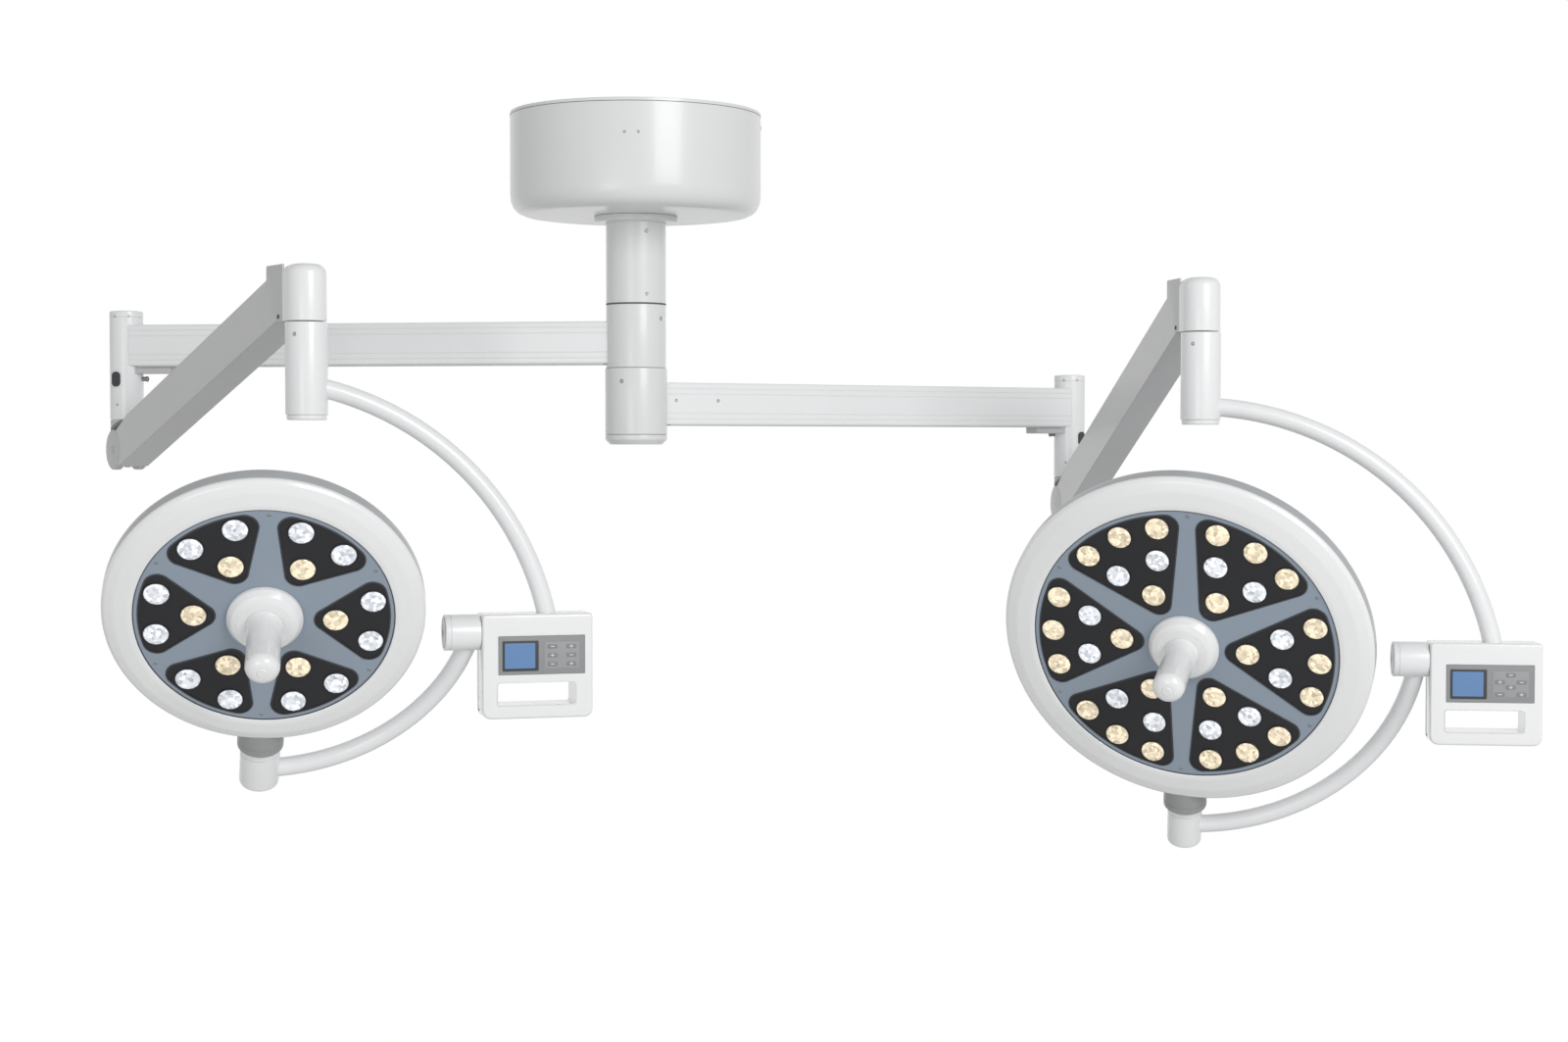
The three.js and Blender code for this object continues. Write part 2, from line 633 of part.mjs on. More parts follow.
function controlHousing(unit) {
  const { width, depth, above, wall, stub, stubShort, stubRoot } = BOX;
  const left = unit.boxLeft;
  const front = -depth / 2;
  const slotLeft = left + SLOT.left;
  const slotRight = slotLeft + SLOT.width;
  const slot = roundedRectangle(slotLeft, -SLOT.top - SLOT.height, slotRight, -SLOT.top, SLOT.corner);
  const panelTop = -PANEL.top;
  const recess = block(
    [left + PANEL.left - GAP, front - BITE, panelTop - PANEL.height - GAP],
    [left + PANEL.left + PANEL.width + GAP, front + PANEL.thickness - PANEL.proud, panelTop + GAP],
  );
  const cavity = block(
    [left + PANEL.left + PANEL.seat, front, panelTop - PANEL.height + PANEL.seat],
    [left + PANEL.left + PANEL.width - PANEL.seat, depth / 2 - wall, panelTop - PANEL.seat],
  );
  const shaft = rod('x', stub, left - BARREL.length + stubShort, left + stubRoot, [0, 0, 0], 16);
  const crown = roundedRectangle(left, -BOX.depth, left + width, above, BOX.topCorner);
  const shell = join(sideways(boxFront(unit), depth, 4), sideways(crown, depth, 2), shaft);
  return cut(shell, sideways(slot, depth + 2 * BITE, 3), recess, cavity);
}

function displayPanel(unit) {
  const front = -BOX.depth / 2 - PANEL.proud;
  const left = unit.boxLeft + PANEL.left;
  const top = -PANEL.top;
  const plate = block(
    [left, front, top - PANEL.height],
    [left + PANEL.width, front + PANEL.thickness - GAP, top],
  );
  const windows = [DISPLAY, KEYPAD].map((area) => block(
    [left + area.left, front - BITE, top - area.top - area.height],
    [left + area.left + area.width, front + KEYPAD.thickness, top - area.top],
  ));
  return cut(plate, ...windows);
}

function keypad(unit) {
  const front = -BOX.depth / 2 - PANEL.proud;
  const left = unit.boxLeft + PANEL.left + KEYPAD.left;
  const top = -PANEL.top - KEYPAD.top;
  const middleX = left + KEYPAD.width / 2;
  const middleZ = top - KEYPAD.height / 2;
  let pad = block(
    [left + GAP, front + KEYPAD.sunk, top - KEYPAD.height + GAP],
    [left + KEYPAD.width - GAP, front + KEYPAD.thickness - GAP, top - GAP],
  );
  for (let column = 0; column < KEYS.columns; column += 1) {
    for (let row = 0; row < KEYS.rows; row += 1) {
      const x = middleX + (column - (KEYS.columns - 1) / 2) * KEYS.pitchX;
      const z = middleZ + (row - (KEYS.rows - 1) / 2) * KEYS.pitchY;
      const key = block(
        [x - KEYS.width / 2, front + KEYPAD.sunk - KEYS.proud, z - KEYS.height / 2],
        [x + KEYS.width / 2, front + KEYS.root, z + KEYS.height / 2],
      );
      pad = join(pad, key);
    }
  }
  return pad;
}

// ---------------------------------------------------------------- tilting half of the yoke
// Origin: sleeve axis on the tilt axis. X runs along the tilt axis, Z up the lamp head.

function tiltBarrel(unit) {
  const right = unit.boxLeft - RUN;
  const left = unit.boxLeft - BARREL.length;
  const bore = rod('x', BOX.stub + RUN, left + BARREL.end, right + BITE, [0, 0, 0], 16);
  return cut(rod('x', BARREL.radius, left, right), bore);
}

function lowerArc(unit, collarBottom) {
  const arc = unit.lowerArc;
  const from = -THREE.MathUtils.radToDeg(Math.asin((arc.z + TUBE.barrelEntry) / arc.radius));
  const to = -angleAtX(arc, unit.swivelX + unit.jointRadius - TUBE.entry);
  const tube = bentTube(arc, from, to);
  const spaceLeft = unit.boxLeft - 2 * BARREL.length;
  const barrelSpace = rod('x', BARREL.radius + GAP, spaceLeft, unit.boxLeft + BARREL.length);
  const centre = [unit.swivelX, 0, 0];
  const low = collarBottom - 2 * JOINT_BLOCK.length;
  const high = collarBottom + JOINT_BLOCK.length;
  const blockSpace = rod('z', unit.jointRadius + GAP, low, high, centre);
  return cut(tube, barrelSpace, blockSpace);
}

// Height of the collar's lower face above the tilt axis.
function collarBottomOf(unit) {
  return unit.headUp - unit.rimRadius - GAP - COLLAR_RING.height;
}

function swivelJoint(unit, collarBottom) {
  const { length, shaftDepth, seamDrop, seamWidth } = JOINT_BLOCK;
  const centre = [unit.swivelX, 0, 0];
  const top = collarBottom - RUN;
  const seam = top - seamDrop;
  const body = rod('z', unit.jointRadius, top - length, top, centre);
  const groove = cut(
    rod('z', unit.jointRadius + BITE, seam - seamWidth, seam, centre),
    rod('z', unit.jointRadius - seamWidth, seam - seamWidth - BITE, seam + BITE, centre),
  );
  const bore = rod('z', COLLAR_RING.spindle + RUN, top - shaftDepth - GAP, top + BITE, centre, 16);
  return cut(body, groove, bore);
}

// ---------------------------------------------------------------- lamp head
// Origin: centre of the rim. X right, Z up the head, the face looks along -Y.

// Outer outline of the back shell and the rim, pushed outwards by the given growth.
function headOutline(unit, growth) {
  const { rear, domeShare, domeRise, shoulder, shoulderIn, waist, waistIn, edge } = SHELL;
  const rim = unit.rimRadius + growth;
  return [
    [0, -rear - growth], [domeShare * rim, domeRise - rear - growth], [rim - shoulderIn, -shoulder - growth],
    [rim - waistIn, -waist - growth], [rim, edge - growth],
  ];
}

function swivelCollar(unit) {
  const bottom = -unit.rimRadius - GAP - COLLAR_RING.height;
  const { radius, spindle, embrace } = COLLAR_RING;
  const ring = rod('z', radius, bottom, embrace - unit.rimRadius);
  const shaft = rod('z', spindle, bottom - JOINT_BLOCK.shaftDepth, bottom + BITE, [0, 0, 0], 16);
  const front = RIM.front + radius;
  const outline = [...headOutline(unit, 2 * GAP), [unit.rimRadius + 2 * GAP, front], [0, front]];
  const geometry = new THREE.LatheGeometry(outline.map(([x, y]) => new THREE.Vector2(x, y)), RIM_SIDES);
  geometry.rotateX(Math.PI);
  return join(cut(ring, solid(geometry)), shaft);
}

// The turned pieces below have their axis along the face's normal, the head's centre at zero
// height and the face at positive heights.

function backShell(unit) {
  const { wall, domeShare, domeRise, rear, shoulder, shoulderIn, waist, waistIn, edge, innerStep } = SHELL;
  const outer = headOutline(unit, 0);
  const rim = unit.rimRadius;
  const top = RIM.rear - GAP;
  const inside = rim - wall;
  const inner = [
    [rim, top], [inside, top], [inside, edge + innerStep], [inside - waistIn, innerStep - waist],
    [inside - shoulderIn, wall - shoulder], [domeShare * rim, domeRise + wall - rear], [0, wall - rear],
  ];
  return turned([...outer, ...inner], RIM_SIDES);
}

function rimRing(unit) {
  const { rear, wall, roll, rollIn, crown, crownOut, front, lip, lipIn, seat } = RIM;
  const outer = unit.rimRadius;
  const inner = unit.faceRadius;
  const middle = (outer + inner) / 2 + crownOut;
  const profile = [
    [outer - seat, rear], [outer, rear], [outer, rear + wall], [outer - rollIn, rear + roll],
    [middle, rear + crown], [inner + lipIn, front], [inner, front], [inner, front - lip],
    [inner + lipIn, front - lip],
  ];
  return turned(profile, RIM_SIDES);
}

// One module's outline: a sector between two spokes with rounded corners.
// The corner arcs' centres lie a corner radius inside the sector's edges.
function moduleShape(unit, angle, inset) {
  const half = MODULE.spoke / 2 + inset;
  const corner = MODULE.corner - inset;
  const wedge = radians(180 / MODULE.count);
  const outer = unit.moduleOuter - inset;
  const inner = unit.moduleInner + inset;
  const offset = half + corner;
  const far = outer - corner;
  const farAngle = wedge - Math.asin(offset / far);
  const near = Math.max(inner + corner, offset / Math.sin(wedge));
  const nearCentre = [near, 0];
  const farCentre = [far * Math.cos(farAngle), far * Math.sin(farAngle)];
  const degrees = THREE.MathUtils.radToDeg;
  const edge = degrees(wedge) + 90;
  const points = [
    ...arcPoints(nearCentre[0], 0, corner, edge, 360 - edge, 3),
    ...arcPoints(farCentre[0], -farCentre[1], corner, -edge, -degrees(farAngle), 2),
    ...arcPoints(0, 0, outer, -0.5 * degrees(farAngle), 0.5 * degrees(farAngle), 1),
    ...arcPoints(farCentre[0], farCentre[1], corner, degrees(farAngle), edge, 2),
  ];
  const turn = radians(angle);
  return polygon(points.map(([x, y]) => [
    x * Math.cos(turn) - y * Math.sin(turn),
    x * Math.sin(turn) + y * Math.cos(turn),
  ]));
}

function modules(unit, inset, from, to) {
  const solids = [];
  for (let i = 0; i < MODULE.count; i += 1) {
    solids.push(prism(moduleShape(unit, (360 / MODULE.count) * i, inset), from, to));
  }
  return solids;
}

const faceTop = RIM.front - FACE.inset;
const faceBottom = faceTop - FACE.plate;

function facePlate(unit) {
  const disc = rod('z', unit.faceRadius - GAP, faceBottom, faceTop, [0, 0, 0], RIM_SIDES);
  const centreHole = rod('z', HANDLE_BASE.radius - HANDLE_BASE.flange, faceBottom - BITE, faceTop + BITE);
  return cut(disc, centreHole, ...modules(unit, 0, faceBottom - BITE, faceTop + BITE));
}

function lensCarrier(unit) {
  const top = faceBottom - GAP;
  const bottom = top - CARRIER.thickness;
  const disc = rod('z', unit.faceRadius - FACE.carrierInset, bottom, top, [0, 0, 0], RIM_SIDES);
  const centreHole = rod('z', HANDLE_BASE.radius - HANDLE_BASE.flange, bottom - BITE, top + BITE);
  const plates = modules(unit, CARRIER.gap, top - BITE, faceTop - CARRIER.sunk);
  return join(cut(disc, centreHole), ...plates);
}

function handleBase() {
  const { radius, proud, flange, tail, shoulder, crownIn, crownDrop, land, stub, stubLength } = HANDLE_BASE;
  const top = faceTop + proud;
  const neck = radius - flange - GAP;
  const bottom = faceBottom - CARRIER.thickness - GAP - tail;
  const profile = [
    [0, bottom], [neck, bottom], [neck, faceTop + GAP], [radius, faceTop + GAP],
    [radius, faceTop + shoulder], [radius - tail, top - shoulder], [radius - crownIn, top - crownDrop],
    [HANDLE.root + land, top], [stub, top], [stub, top + stubLength], [0, top + stubLength],
  ];
  return turned(profile);
}

function handleGrip() {
  const { root, tip, length, wall, cuff, cuffStep, round } = HANDLE;
  const bottom = faceTop + HANDLE_BASE.proud + GAP;
  const bore = HANDLE_BASE.stub + GAP;
  const depth = bottom + HANDLE_BASE.stubLength + wall;
  const profile = [
    [bore, bottom], [root, bottom], [root - cuffStep, bottom + cuff], [tip, bottom + 0.5 * length],
    ...arcPoints(tip - round, bottom + length - round, round, 0, 90, 3),
    [0, bottom + length], [0, depth], [bore, depth],
  ];
  return turned(profile, 24);
}

// ---------------------------------------------------------------- assembly

place(light, 'ceiling_plate', ceilingPlate(), STEEL);
place(light, 'power_supply', powerSupply(), STEEL);
place(light, 'canopy', canopy(), WHITE);
place(light, 'canopy_collar', canopyCollar(), WHITE);
place(light, 'column_tube', columnTube(), WHITE);
place(light, 'column_spindle', columnSpindle(), STEEL);
place(light, 'column_end_cap', columnEndCap(), WHITE);

function lampUnit(unit) {
  const named = (piece) => `${unit.name}_${piece}`;

  const arm = frameAt(light, [0, 0, -unit.hubTop - unit.armDrop], [0, 0, radians(unit.armAzimuth)]);
  place(arm, named('arm_hub'), armHub(unit), WHITE);
  place(arm, named('arm_beam'), armBeam(unit), WHITE);

  const end = frameAt(arm, [unit.armLength, 0, 0]);
  const brakeTurn = radians(unit.brakeSide * BRAKE.bearing);
  const pocket = geometryOf(brakeBody(GAP));
  pocket.rotateZ(brakeTurn);
  place(end, named('outer_hub'), cut(outerHub(), solid(pocket)), WHITE);
  place(frameAt(end, [0, 0, 0], [0, 0, brakeTurn]), named('brake_screw'), brakeBody(0), DARK);

  const swivel = frameAt(end, [0, 0, -PIVOT.drop], [0, 0, radians(unit.springAzimuth - unit.armAzimuth)]);
  place(swivel, named('rear_knuckle'), rearKnuckle(), SHELL_GREY);
  place(swivel, named('rear_pin'), pivotPin(SPRING_ARM.width), STEEL);

  const lift = frameAt(swivel, [0, 0, 0], [0, -radians(unit.elevation), 0]);
  place(lift, named('spring_arm'), springArm(), WHITE);
  place(lift, named('lift_spring'), liftSpring(), STEEL);
  const tie = frameAt(swivel, [0, 0, -TIE.offset], [0, -radians(unit.elevation), 0]);
  place(tie, named('tie_rod'), tieRod(), STEEL);

  const reach = SPRING_ARM.length * Math.cos(radians(unit.elevation));
  const rise = SPRING_ARM.length * Math.sin(radians(unit.elevation));
  const front = frameAt(swivel, [reach, 0, rise]);
  place(front, named('front_head'), frontHead(), WHITE);
  place(front, named('front_pin'), pivotPin(FRONT_HEAD.width), STEEL);

  const yokeTurn = radians(unit.yokeAzimuth - unit.springAzimuth);
  const yoke = frameAt(front, [FRONT_HEAD.reach, 0, -unit.axisDrop], [0, 0, yokeTurn]);
  place(yoke, named('sleeve'), sleeve(unit.axisDrop - FRONT_HEAD.below - RUN), WHITE);
  place(yoke, named('upper_arc'), upperArc(unit), WHITE);
  place(yoke, named('control_housing'), controlHousing(unit), GLOSS_WHITE);
  place(yoke, named('display_panel'), displayPanel(unit), PANEL_GREY);
  place(yoke, named('keypad'), keypad(unit), JOINT_GREY);

  const tilting = frameAt(yoke, [0, 0, 0], [radians(unit.tilt), 0, 0]);
  const collarBottom = collarBottomOf(unit);
  place(tilting, named('tilt_barrel'), tiltBarrel(unit), WHITE);
  place(tilting, named('lower_arc'), lowerArc(unit, collarBottom), WHITE);
  place(tilting, named('swivel_joint'), swivelJoint(unit, collarBottom), WHITE);

  const head = frameAt(tilting, [unit.swivelX, 0, unit.headUp], [0, 0, radians(unit.spin)]);
  place(head, named('swivel_collar'), swivelCollar(unit), JOINT_GREY);
  const face = frameAt(head, [0, 0, 0], [Math.PI / 2, 0, 0]);
  place(face, named('back_shell'), backShell(unit), SHELL_GREY);
  place(face, named('rim_ring'), rimRing(unit), GLOSS_WHITE);
  place(face, named('face_plate'), facePlate(unit), FACE_BLUE);
  place(face, named('lens_carrier'), lensCarrier(unit), BLACK);
  place(face, named('handle_base'), handleBase(), GLOSS_WHITE);
  place(face, named('handle_grip'), handleGrip(), GLOSS_WHITE);
}

UNITS.forEach(lampUnit);

export default light;
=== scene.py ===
"""The looks of the ceiling surgical light: smooth pieces, finishes, lamps and studio."""
import math

import bpy
from mathutils import Matrix, Vector


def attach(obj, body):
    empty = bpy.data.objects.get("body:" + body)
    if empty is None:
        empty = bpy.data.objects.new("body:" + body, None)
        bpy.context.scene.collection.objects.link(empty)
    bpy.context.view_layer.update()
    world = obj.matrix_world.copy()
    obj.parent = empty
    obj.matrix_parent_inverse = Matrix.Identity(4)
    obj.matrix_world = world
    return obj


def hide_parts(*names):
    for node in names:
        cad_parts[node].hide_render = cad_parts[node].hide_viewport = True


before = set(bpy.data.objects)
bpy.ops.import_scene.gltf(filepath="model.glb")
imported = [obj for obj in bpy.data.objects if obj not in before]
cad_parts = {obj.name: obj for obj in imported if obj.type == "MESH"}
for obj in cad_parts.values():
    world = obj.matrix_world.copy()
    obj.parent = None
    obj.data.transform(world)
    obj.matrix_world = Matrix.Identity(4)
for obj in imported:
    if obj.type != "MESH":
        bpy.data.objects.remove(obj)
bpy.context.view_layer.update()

MM = 0.001
GAP = 0.3  # between pieces that are seated on each other
RUN = 0.5  # between pieces that turn on each other

# ------------------------------------------------------------ sizes in millimetres

ROOT = Matrix()
BASE = "ceiling_mount"

CANOPY_RADIUS, CANOPY_HEIGHT, CANOPY_CORNER, CANOPY_WALL = 180.6, 147.3, 30, 2.5
CANOPY_SEAM = (-5.2, -4.4)
COLLAR_RADIUS, COLLAR_HEIGHT, COLLAR_LAP = 60, 9, 8
COLUMN_RADIUS, COLUMN_INNER, COLUMN_TOP, COLUMN_BOTTOM = 43.2, 39.2, -6.3, 273.7
SEAM_DEPTH = 2
END_CAP_HEIGHT, END_CAP_CHAMFER = 14, 7
CEILING_SCREWS = [  # azimuth, radius of the wall, height, radius of the screw
    (-66, COLUMN_RADIUS, -170.8, 3.0), (-65, COLUMN_RADIUS, -260.6, 2.6),
    (-91.4, CANOPY_RADIUS, -47.7, 2.0), (-85.4, CANOPY_RADIUS, -47.7, 2.0),
    (114, COLUMN_RADIUS, -170.8, 3.0), (115, COLUMN_RADIUS, -260.6, 2.6),
    (0, CANOPY_RADIUS, -20, 3.2), (90, CANOPY_RADIUS, -20, 3.2), (180, CANOPY_RADIUS, -20, 3.2),
]

BEAM_HEIGHT, BEAM_WIDTH, BEAM_CORNER = 61.4, 44, 4
BEAM_GROOVES = (-22, -14, 14, 22)
ARM_HUB_BORE = 31
HUB_RADIUS, HUB_ABOVE, HUB_BELOW, HUB_BORE, HUB_ROOF = 24.5, 52, 110, 14, 8
HOUSING_SCREWS = [(-118, 43.5), (-66, 43.5), (-110, -88)]  # azimuth, height
GUSSET_LENGTH, GUSSET_HEIGHT, GUSSET_WIDTH = 50, 11, 30

PIVOT_DROP, DRUM, TONGUE = 155, 30, 22
NECK_LOW, NECK_REAR, NECK_FRONT = -8, -8, 17
ARM_LENGTH, ARM_WIDTH = 648, 45
CHEEK = 0.5 * (ARM_WIDTH - TONGUE) - RUN
HEAD_WIDTH, HEAD_ABOVE, HEAD_BELOW, HEAD_REACH = 52, 36, 37, 30
HEAD_REAR, HEAD_CHEEK, HEAD_CROWN = 14.5, 36, 13

SLEEVE_RADIUS, SLEEVE_LENGTH = 27, 126
TUBE_RADIUS = 12.5
BOX_WIDTH, BOX_HEIGHT, BOX_DEPTH, BOX_ABOVE = 146, 137, 50, 24
BOX_CORNERS = (13, 13, 5, 5)
PANEL_LEFT, PANEL_WIDTH, PANEL_TOP, PANEL_HEIGHT = 21, 114, 5, 50
SCREEN_LEFT, SCREEN_TOP, SCREEN_WIDTH, SCREEN_HEIGHT = 8, 9, 40, 33
KEYS_LEFT, KEYS_TOP, KEYS_WIDTH, KEYS_HEIGHT = 60, 8, 47, 35
KEY_SIZE, MINUS_SIZE, PLUS_SIZE = (6.5, 2.8), (2.4, 0.5), (0.5, 2)  # half widths and heights
SLOT_LEFT, SLOT_WIDTH, SLOT_TOP, SLOT_HEIGHT = 20, 103, 66, 29

BARREL_RADIUS, BARREL_LENGTH, HINGE_SHAFT = 23.5, 47, 8.8
JOINT_LENGTH, JOINT_BORE, JOINT_BORE_DEPTH = 62, 13, 46
RING_RADIUS, RING_HEIGHT, RING_ENTRY = 30, 29, 24

RIM_REAR, RIM_FRONT, FACE_TOP, FACE_BORE = 22, 37, 35, 39
MODULES, SPOKE_HALF, MODULE_CORNER = 6, 10.5, 18
SECTOR = 360 / MODULES
LENS_RADIUS, LENS_TIP = 16, 3.1
LENS_ROWS = [(LENS_RADIUS, 0.0), (LENS_RADIUS - 1, 1.6), (11.5, 2.6), (7.5, 2.1), (3.6, 2.8)]
BASE_RADIUS, BASE_PROUD = 47.5, 17
HANDLE_ROOT, HANDLE_TIP, HANDLE_LENGTH, HANDLE_ROUND, HANDLE_BORE = 23, 21, 100, 14, 12

# Turned profiles of the small parts: radius, height and, where the point is rounded, a radius.
STOP_PROFILE = [(0, 0), (3.4, 0), (3.4, 7), (4, 7, 0.3), (4, 10.5, 0.8), (1.8, 10.5), (1.8, 8.5), (0, 8.5)]
PIN_CAP_PROFILE = [(0, 0), (5.8, 0), (5.8, 0.8, 0.4), (2, 0.9), (1.6, 0.3), (0, 0.3)]
COVER_SCREW_PROFILE = [(0, 0.3), (1.6, 0.3), (2, 0.6), (4, 0.6, 0.3), (4.2, 0)]
BUTTON_PROFILE = [(0, 0.9), (6, 0.9, 0.4), (6.6, 0.2, 0.3), (6.8, 0)]
SEAT_PROFILE = [
    (LENS_RADIUS - 0.3, 0), (LENS_RADIUS - 0.2, 1.5), (LENS_RADIUS + 0.9, 1.2, 0.3), (LENS_RADIUS + 1.4, 0),
]

# Azimuths and tilts are in degrees. upper and lower are the tubes' circles: x, z and bend radius.
# stop and hub_screw give an azimuth and a height on the wall, and sleeve_hole an azimuth alone.
# A lens has a radius, an angle in its module and a colour, and module is its nearest and farthest edge.
UNITS = [
    dict(
        name="left", hub_top=COLUMN_BOTTOM + RUN, hub_height=91.5, hub_radius=COLUMN_RADIUS, arm_drop=54.8,
        arm_length=779, arm_azimuth=171.3, spring_azimuth=-54.7, elevation=18.2, yoke_azimuth=16,
        axis_drop=440, upper=(-73, -63, 392), box_left=221, tilt=31.8, lower=(-49, 48.4, 263.7),
        swivel_x=-55, head_up=55, spin=-5.2, rim=200, face=161.5, module=(60, 156), joint=26,
        lenses=[(136, -13, "cool"), (136, 13, "cool"), (87.3, 0, "warm")],
        stop=(-8, -49.4), hub_screw=(-31, 33.8), beam_screws=[], sleeve_hole=-112,
        keys=[(x, z) for x in (-12.5, 12.5) for z in (-11.5, 0, 11.5)],
    ),
    dict(
        name="right", hub_top=COLUMN_BOTTOM + 2 * RUN + 91.5, hub_height=95.5, hub_radius=44.8, arm_drop=50.8,
        arm_length=774, arm_azimuth=29.6, spring_azimuth=-79.9, elevation=26.2, yoke_azimuth=-7.3,
        axis_drop=479.4, upper=(-7, -64, 404.6), box_left=304, tilt=26.7, lower=(-4.6, 18.2, 295.4),
        swivel_x=-14, head_up=37, spin=-12.9, rim=250, face=206, module=(54, 200), joint=24,
        lenses=[
            (180, -17.15, "warm"), (180, 0, "warm"), (180, 17.15, "warm"),
            (133, -13.1, "cool"), (133, 13.1, "cool"), (85, 0, "warm"),
        ],
        stop=(190, -42.6), hub_screw=(-114, 31.6), beam_screws=[54, 123], sleeve_hole=-123,
        keys=[(0, 12.5), (-14, 3), (14, 3), (0, -4), (-14, -13.5), (14, -13.5)],
    ),
]

# ------------------------------------------------------------ studio, in metres and watts

FLOOR_RADIUS, FLOOR_HEIGHT = 4000, -2400  # in millimetres, like the pieces
SIDE_LIGHT, TOP_LIGHT, LOW_LIGHT = 0.60, 0.62, 0.6
KEY_LIGHT = ((2.4, -3.8, 0.9), (0.1, 0, -0.5), 2.0, 84)  # place, target, size, power
FILL_LIGHT = ((-1.4, -4.4, -0.9), (0, 0, -0.5), 1.6, 18)
LENS_MM, SENSOR_MM = 55.54, 36
CAMERA_PLACE, CAMERA_DOWN = (0.2142, -3.5101, -0.4769), 1.8

# ------------------------------------------------------------ materials


class Nodes:
    """A short way to build a material's node tree."""

    def __init__(self, name):
        self.material = bpy.data.materials.new(name)
        self.material.use_nodes = True
        self.tree = self.material.node_tree
        self.shader = self.tree.nodes["Principled BSDF"]
        self.place = self.tree.nodes.new("ShaderNodeTexCoord").outputs["Object"]

    def new(self, kind, **inputs):
        node = self.tree.nodes.new("ShaderNode" + kind)
        for name, value in inputs.items():
            self.set(node, name.replace("_", " "), value)
        return node

    def set(self, node, name, value):
        if isinstance(value, bpy.types.NodeSocket):
            self.tree.links.new(value, node.inputs[name])
        else:
            node.inputs[name].default_value = value

    def noise(self, scale, detail=3.0, stretch=None):
        vector = self.place
        if stretch:
            mapping = self.new("Mapping", Vector=vector, Scale=stretch)
            vector = mapping.outputs["Vector"]
        return self.new("TexNoise", Vector=vector, Scale=scale, Detail=detail).outputs["Fac"]

    def spread(self, factor, low, high):
        return self.new("MapRange", Value=factor, To_Min=low, To_Max=high).outputs["Result"]

    def tinted(self, colour, factor, low, high):
        tint = self.new("VectorMath")
        tint.operation = "SCALE"
        tint.inputs[0].default_value = colour
        self.set(tint, "Scale", self.spread(factor, low, high))
        return tint.outputs[0]

    def bumped(self, height, strength, distance, edge=0.0):
        bump = self.new("Bump", Height=height, Strength=strength, Distance=distance)
        if edge:
            bevel = self.new("Bevel", Radius=edge)
            self.set(bump, "Normal", bevel.outputs["Normal"])
        self.set(self.shader, "Normal", bump.outputs["Normal"])


def paint(name, colour, rough=0.3, coat=0.3, grain=900, peel=0.05, edge=0.0012, metal=0.0):
    """Sprayed enamel or moulded plastic: faint clouding, orange peel and softened edges."""
    n = Nodes(name)
    cloud = n.noise(5)
    n.set(n.shader, "Base Color", n.tinted(colour, cloud, 0.965, 1.03))
    n.set(n.shader, "Roughness", n.spread(n.noise(38), rough - 0.05, rough + 0.05))
    n.set(n.shader, "Metallic", metal)
    n.set(n.shader, "Coat Weight", coat)
    n.set(n.shader, "Coat Roughness", 0.12)
    n.bumped(n.noise(grain, 2), peel, 0.0003, edge)
    return n.material


def metal(name, colour, rough=0.32, stretch=(1, 1, 60)):
    """Turned or brushed metal: fine streaks along one direction."""
    n = Nodes(name)
    streak = n.noise(60, 4, stretch)
    n.set(n.shader, "Base Color", n.tinted(colour, streak, 0.85, 1.1))
    n.set(n.shader, "Roughness", n.spread(streak, rough - 0.08, rough + 0.12))
    n.set(n.shader, "Metallic", 1.0)
    n.bumped(streak, 0.08, 0.0003, 0.0006)
    return n.material


def lamp(name, colour, glow):
    """A clear faceted lens over a lit LED: cells of light and shade."""
    n = Nodes(name)
    cells = n.new("TexVoronoi", Vector=n.place, Scale=210.0)
    shade = n.tinted(colour, cells.outputs["Color"], 0.45, 1.25)
    n.set(n.shader, "Base Color", shade)
    n.set(n.shader, "Emission Color", shade)
    n.set(n.shader, "Emission Strength", glow)
    n.set(n.shader, "Roughness", n.spread(n.noise(300), 0.05, 0.16))
    n.set(n.shader, "Coat Weight", 0.8)
    n.bumped(cells.outputs["Distance"], 0.35, 0.0008)
    return n.material


def display(name):
    """A lit blue screen with a faint pixel grid."""
    n = Nodes(name)
    grid = n.new("TexWave", Vector=n.place, Scale=260.0, Distortion=0.0)
    grid.bands_direction = "Z"
    shade = n.tinted((0.11, 0.21, 0.39), grid.outputs["Fac"], 0.88, 1.08)
    n.set(n.shader, "Base Color", shade)
    n.set(n.shader, "Emission Color", shade)
    n.set(n.shader, "Emission Strength", 0.3)
    n.set(n.shader, "Roughness", n.spread(n.noise(80), 0.1, 0.2))
    n.bumped(grid.outputs["Fac"], 0.05, 0.0001)
    return n.material


WHITE = paint("white_enamel", (0.86, 0.87, 0.875), 0.32, 0.35)
# A darker copy of the white enamel: painted shade on the canopy, column, end cap and arm hubs.
SHADED_COLUMN_WHITE = paint("column_enamel", (0.76, 0.77, 0.77), 0.34, 0.3)
TUBE_WHITE = paint("tube_enamel", (0.86, 0.87, 0.875), 0.3, 0.35, 900, 0.0, 0.0)
GLOSS = paint("white_gloss", (0.88, 0.885, 0.89), 0.2, 0.5, 500, 0.02, 0.0015)
ARM_PAINT = paint("arm_enamel", (0.60, 0.605, 0.61), 0.36, 0.25, 900, 0.06, 0.0022)
SHELL = paint("shell_grey", (0.44, 0.455, 0.47), 0.34, 0.25)
KNUCKLE = paint("knuckle_grey", (0.55, 0.555, 0.56), 0.38, 0.2)
RING = paint("joint_grey", (0.33, 0.335, 0.335), 0.42, 0.1, 1400, 0.1)
FACE = paint("face_blue", (0.29, 0.35, 0.42), 0.42, 0.15, 1100, 0.08)
MODULE = paint("module_black", (0.012, 0.0125, 0.015), 0.38, 0.1, 1800, 0.2, 0.0006)
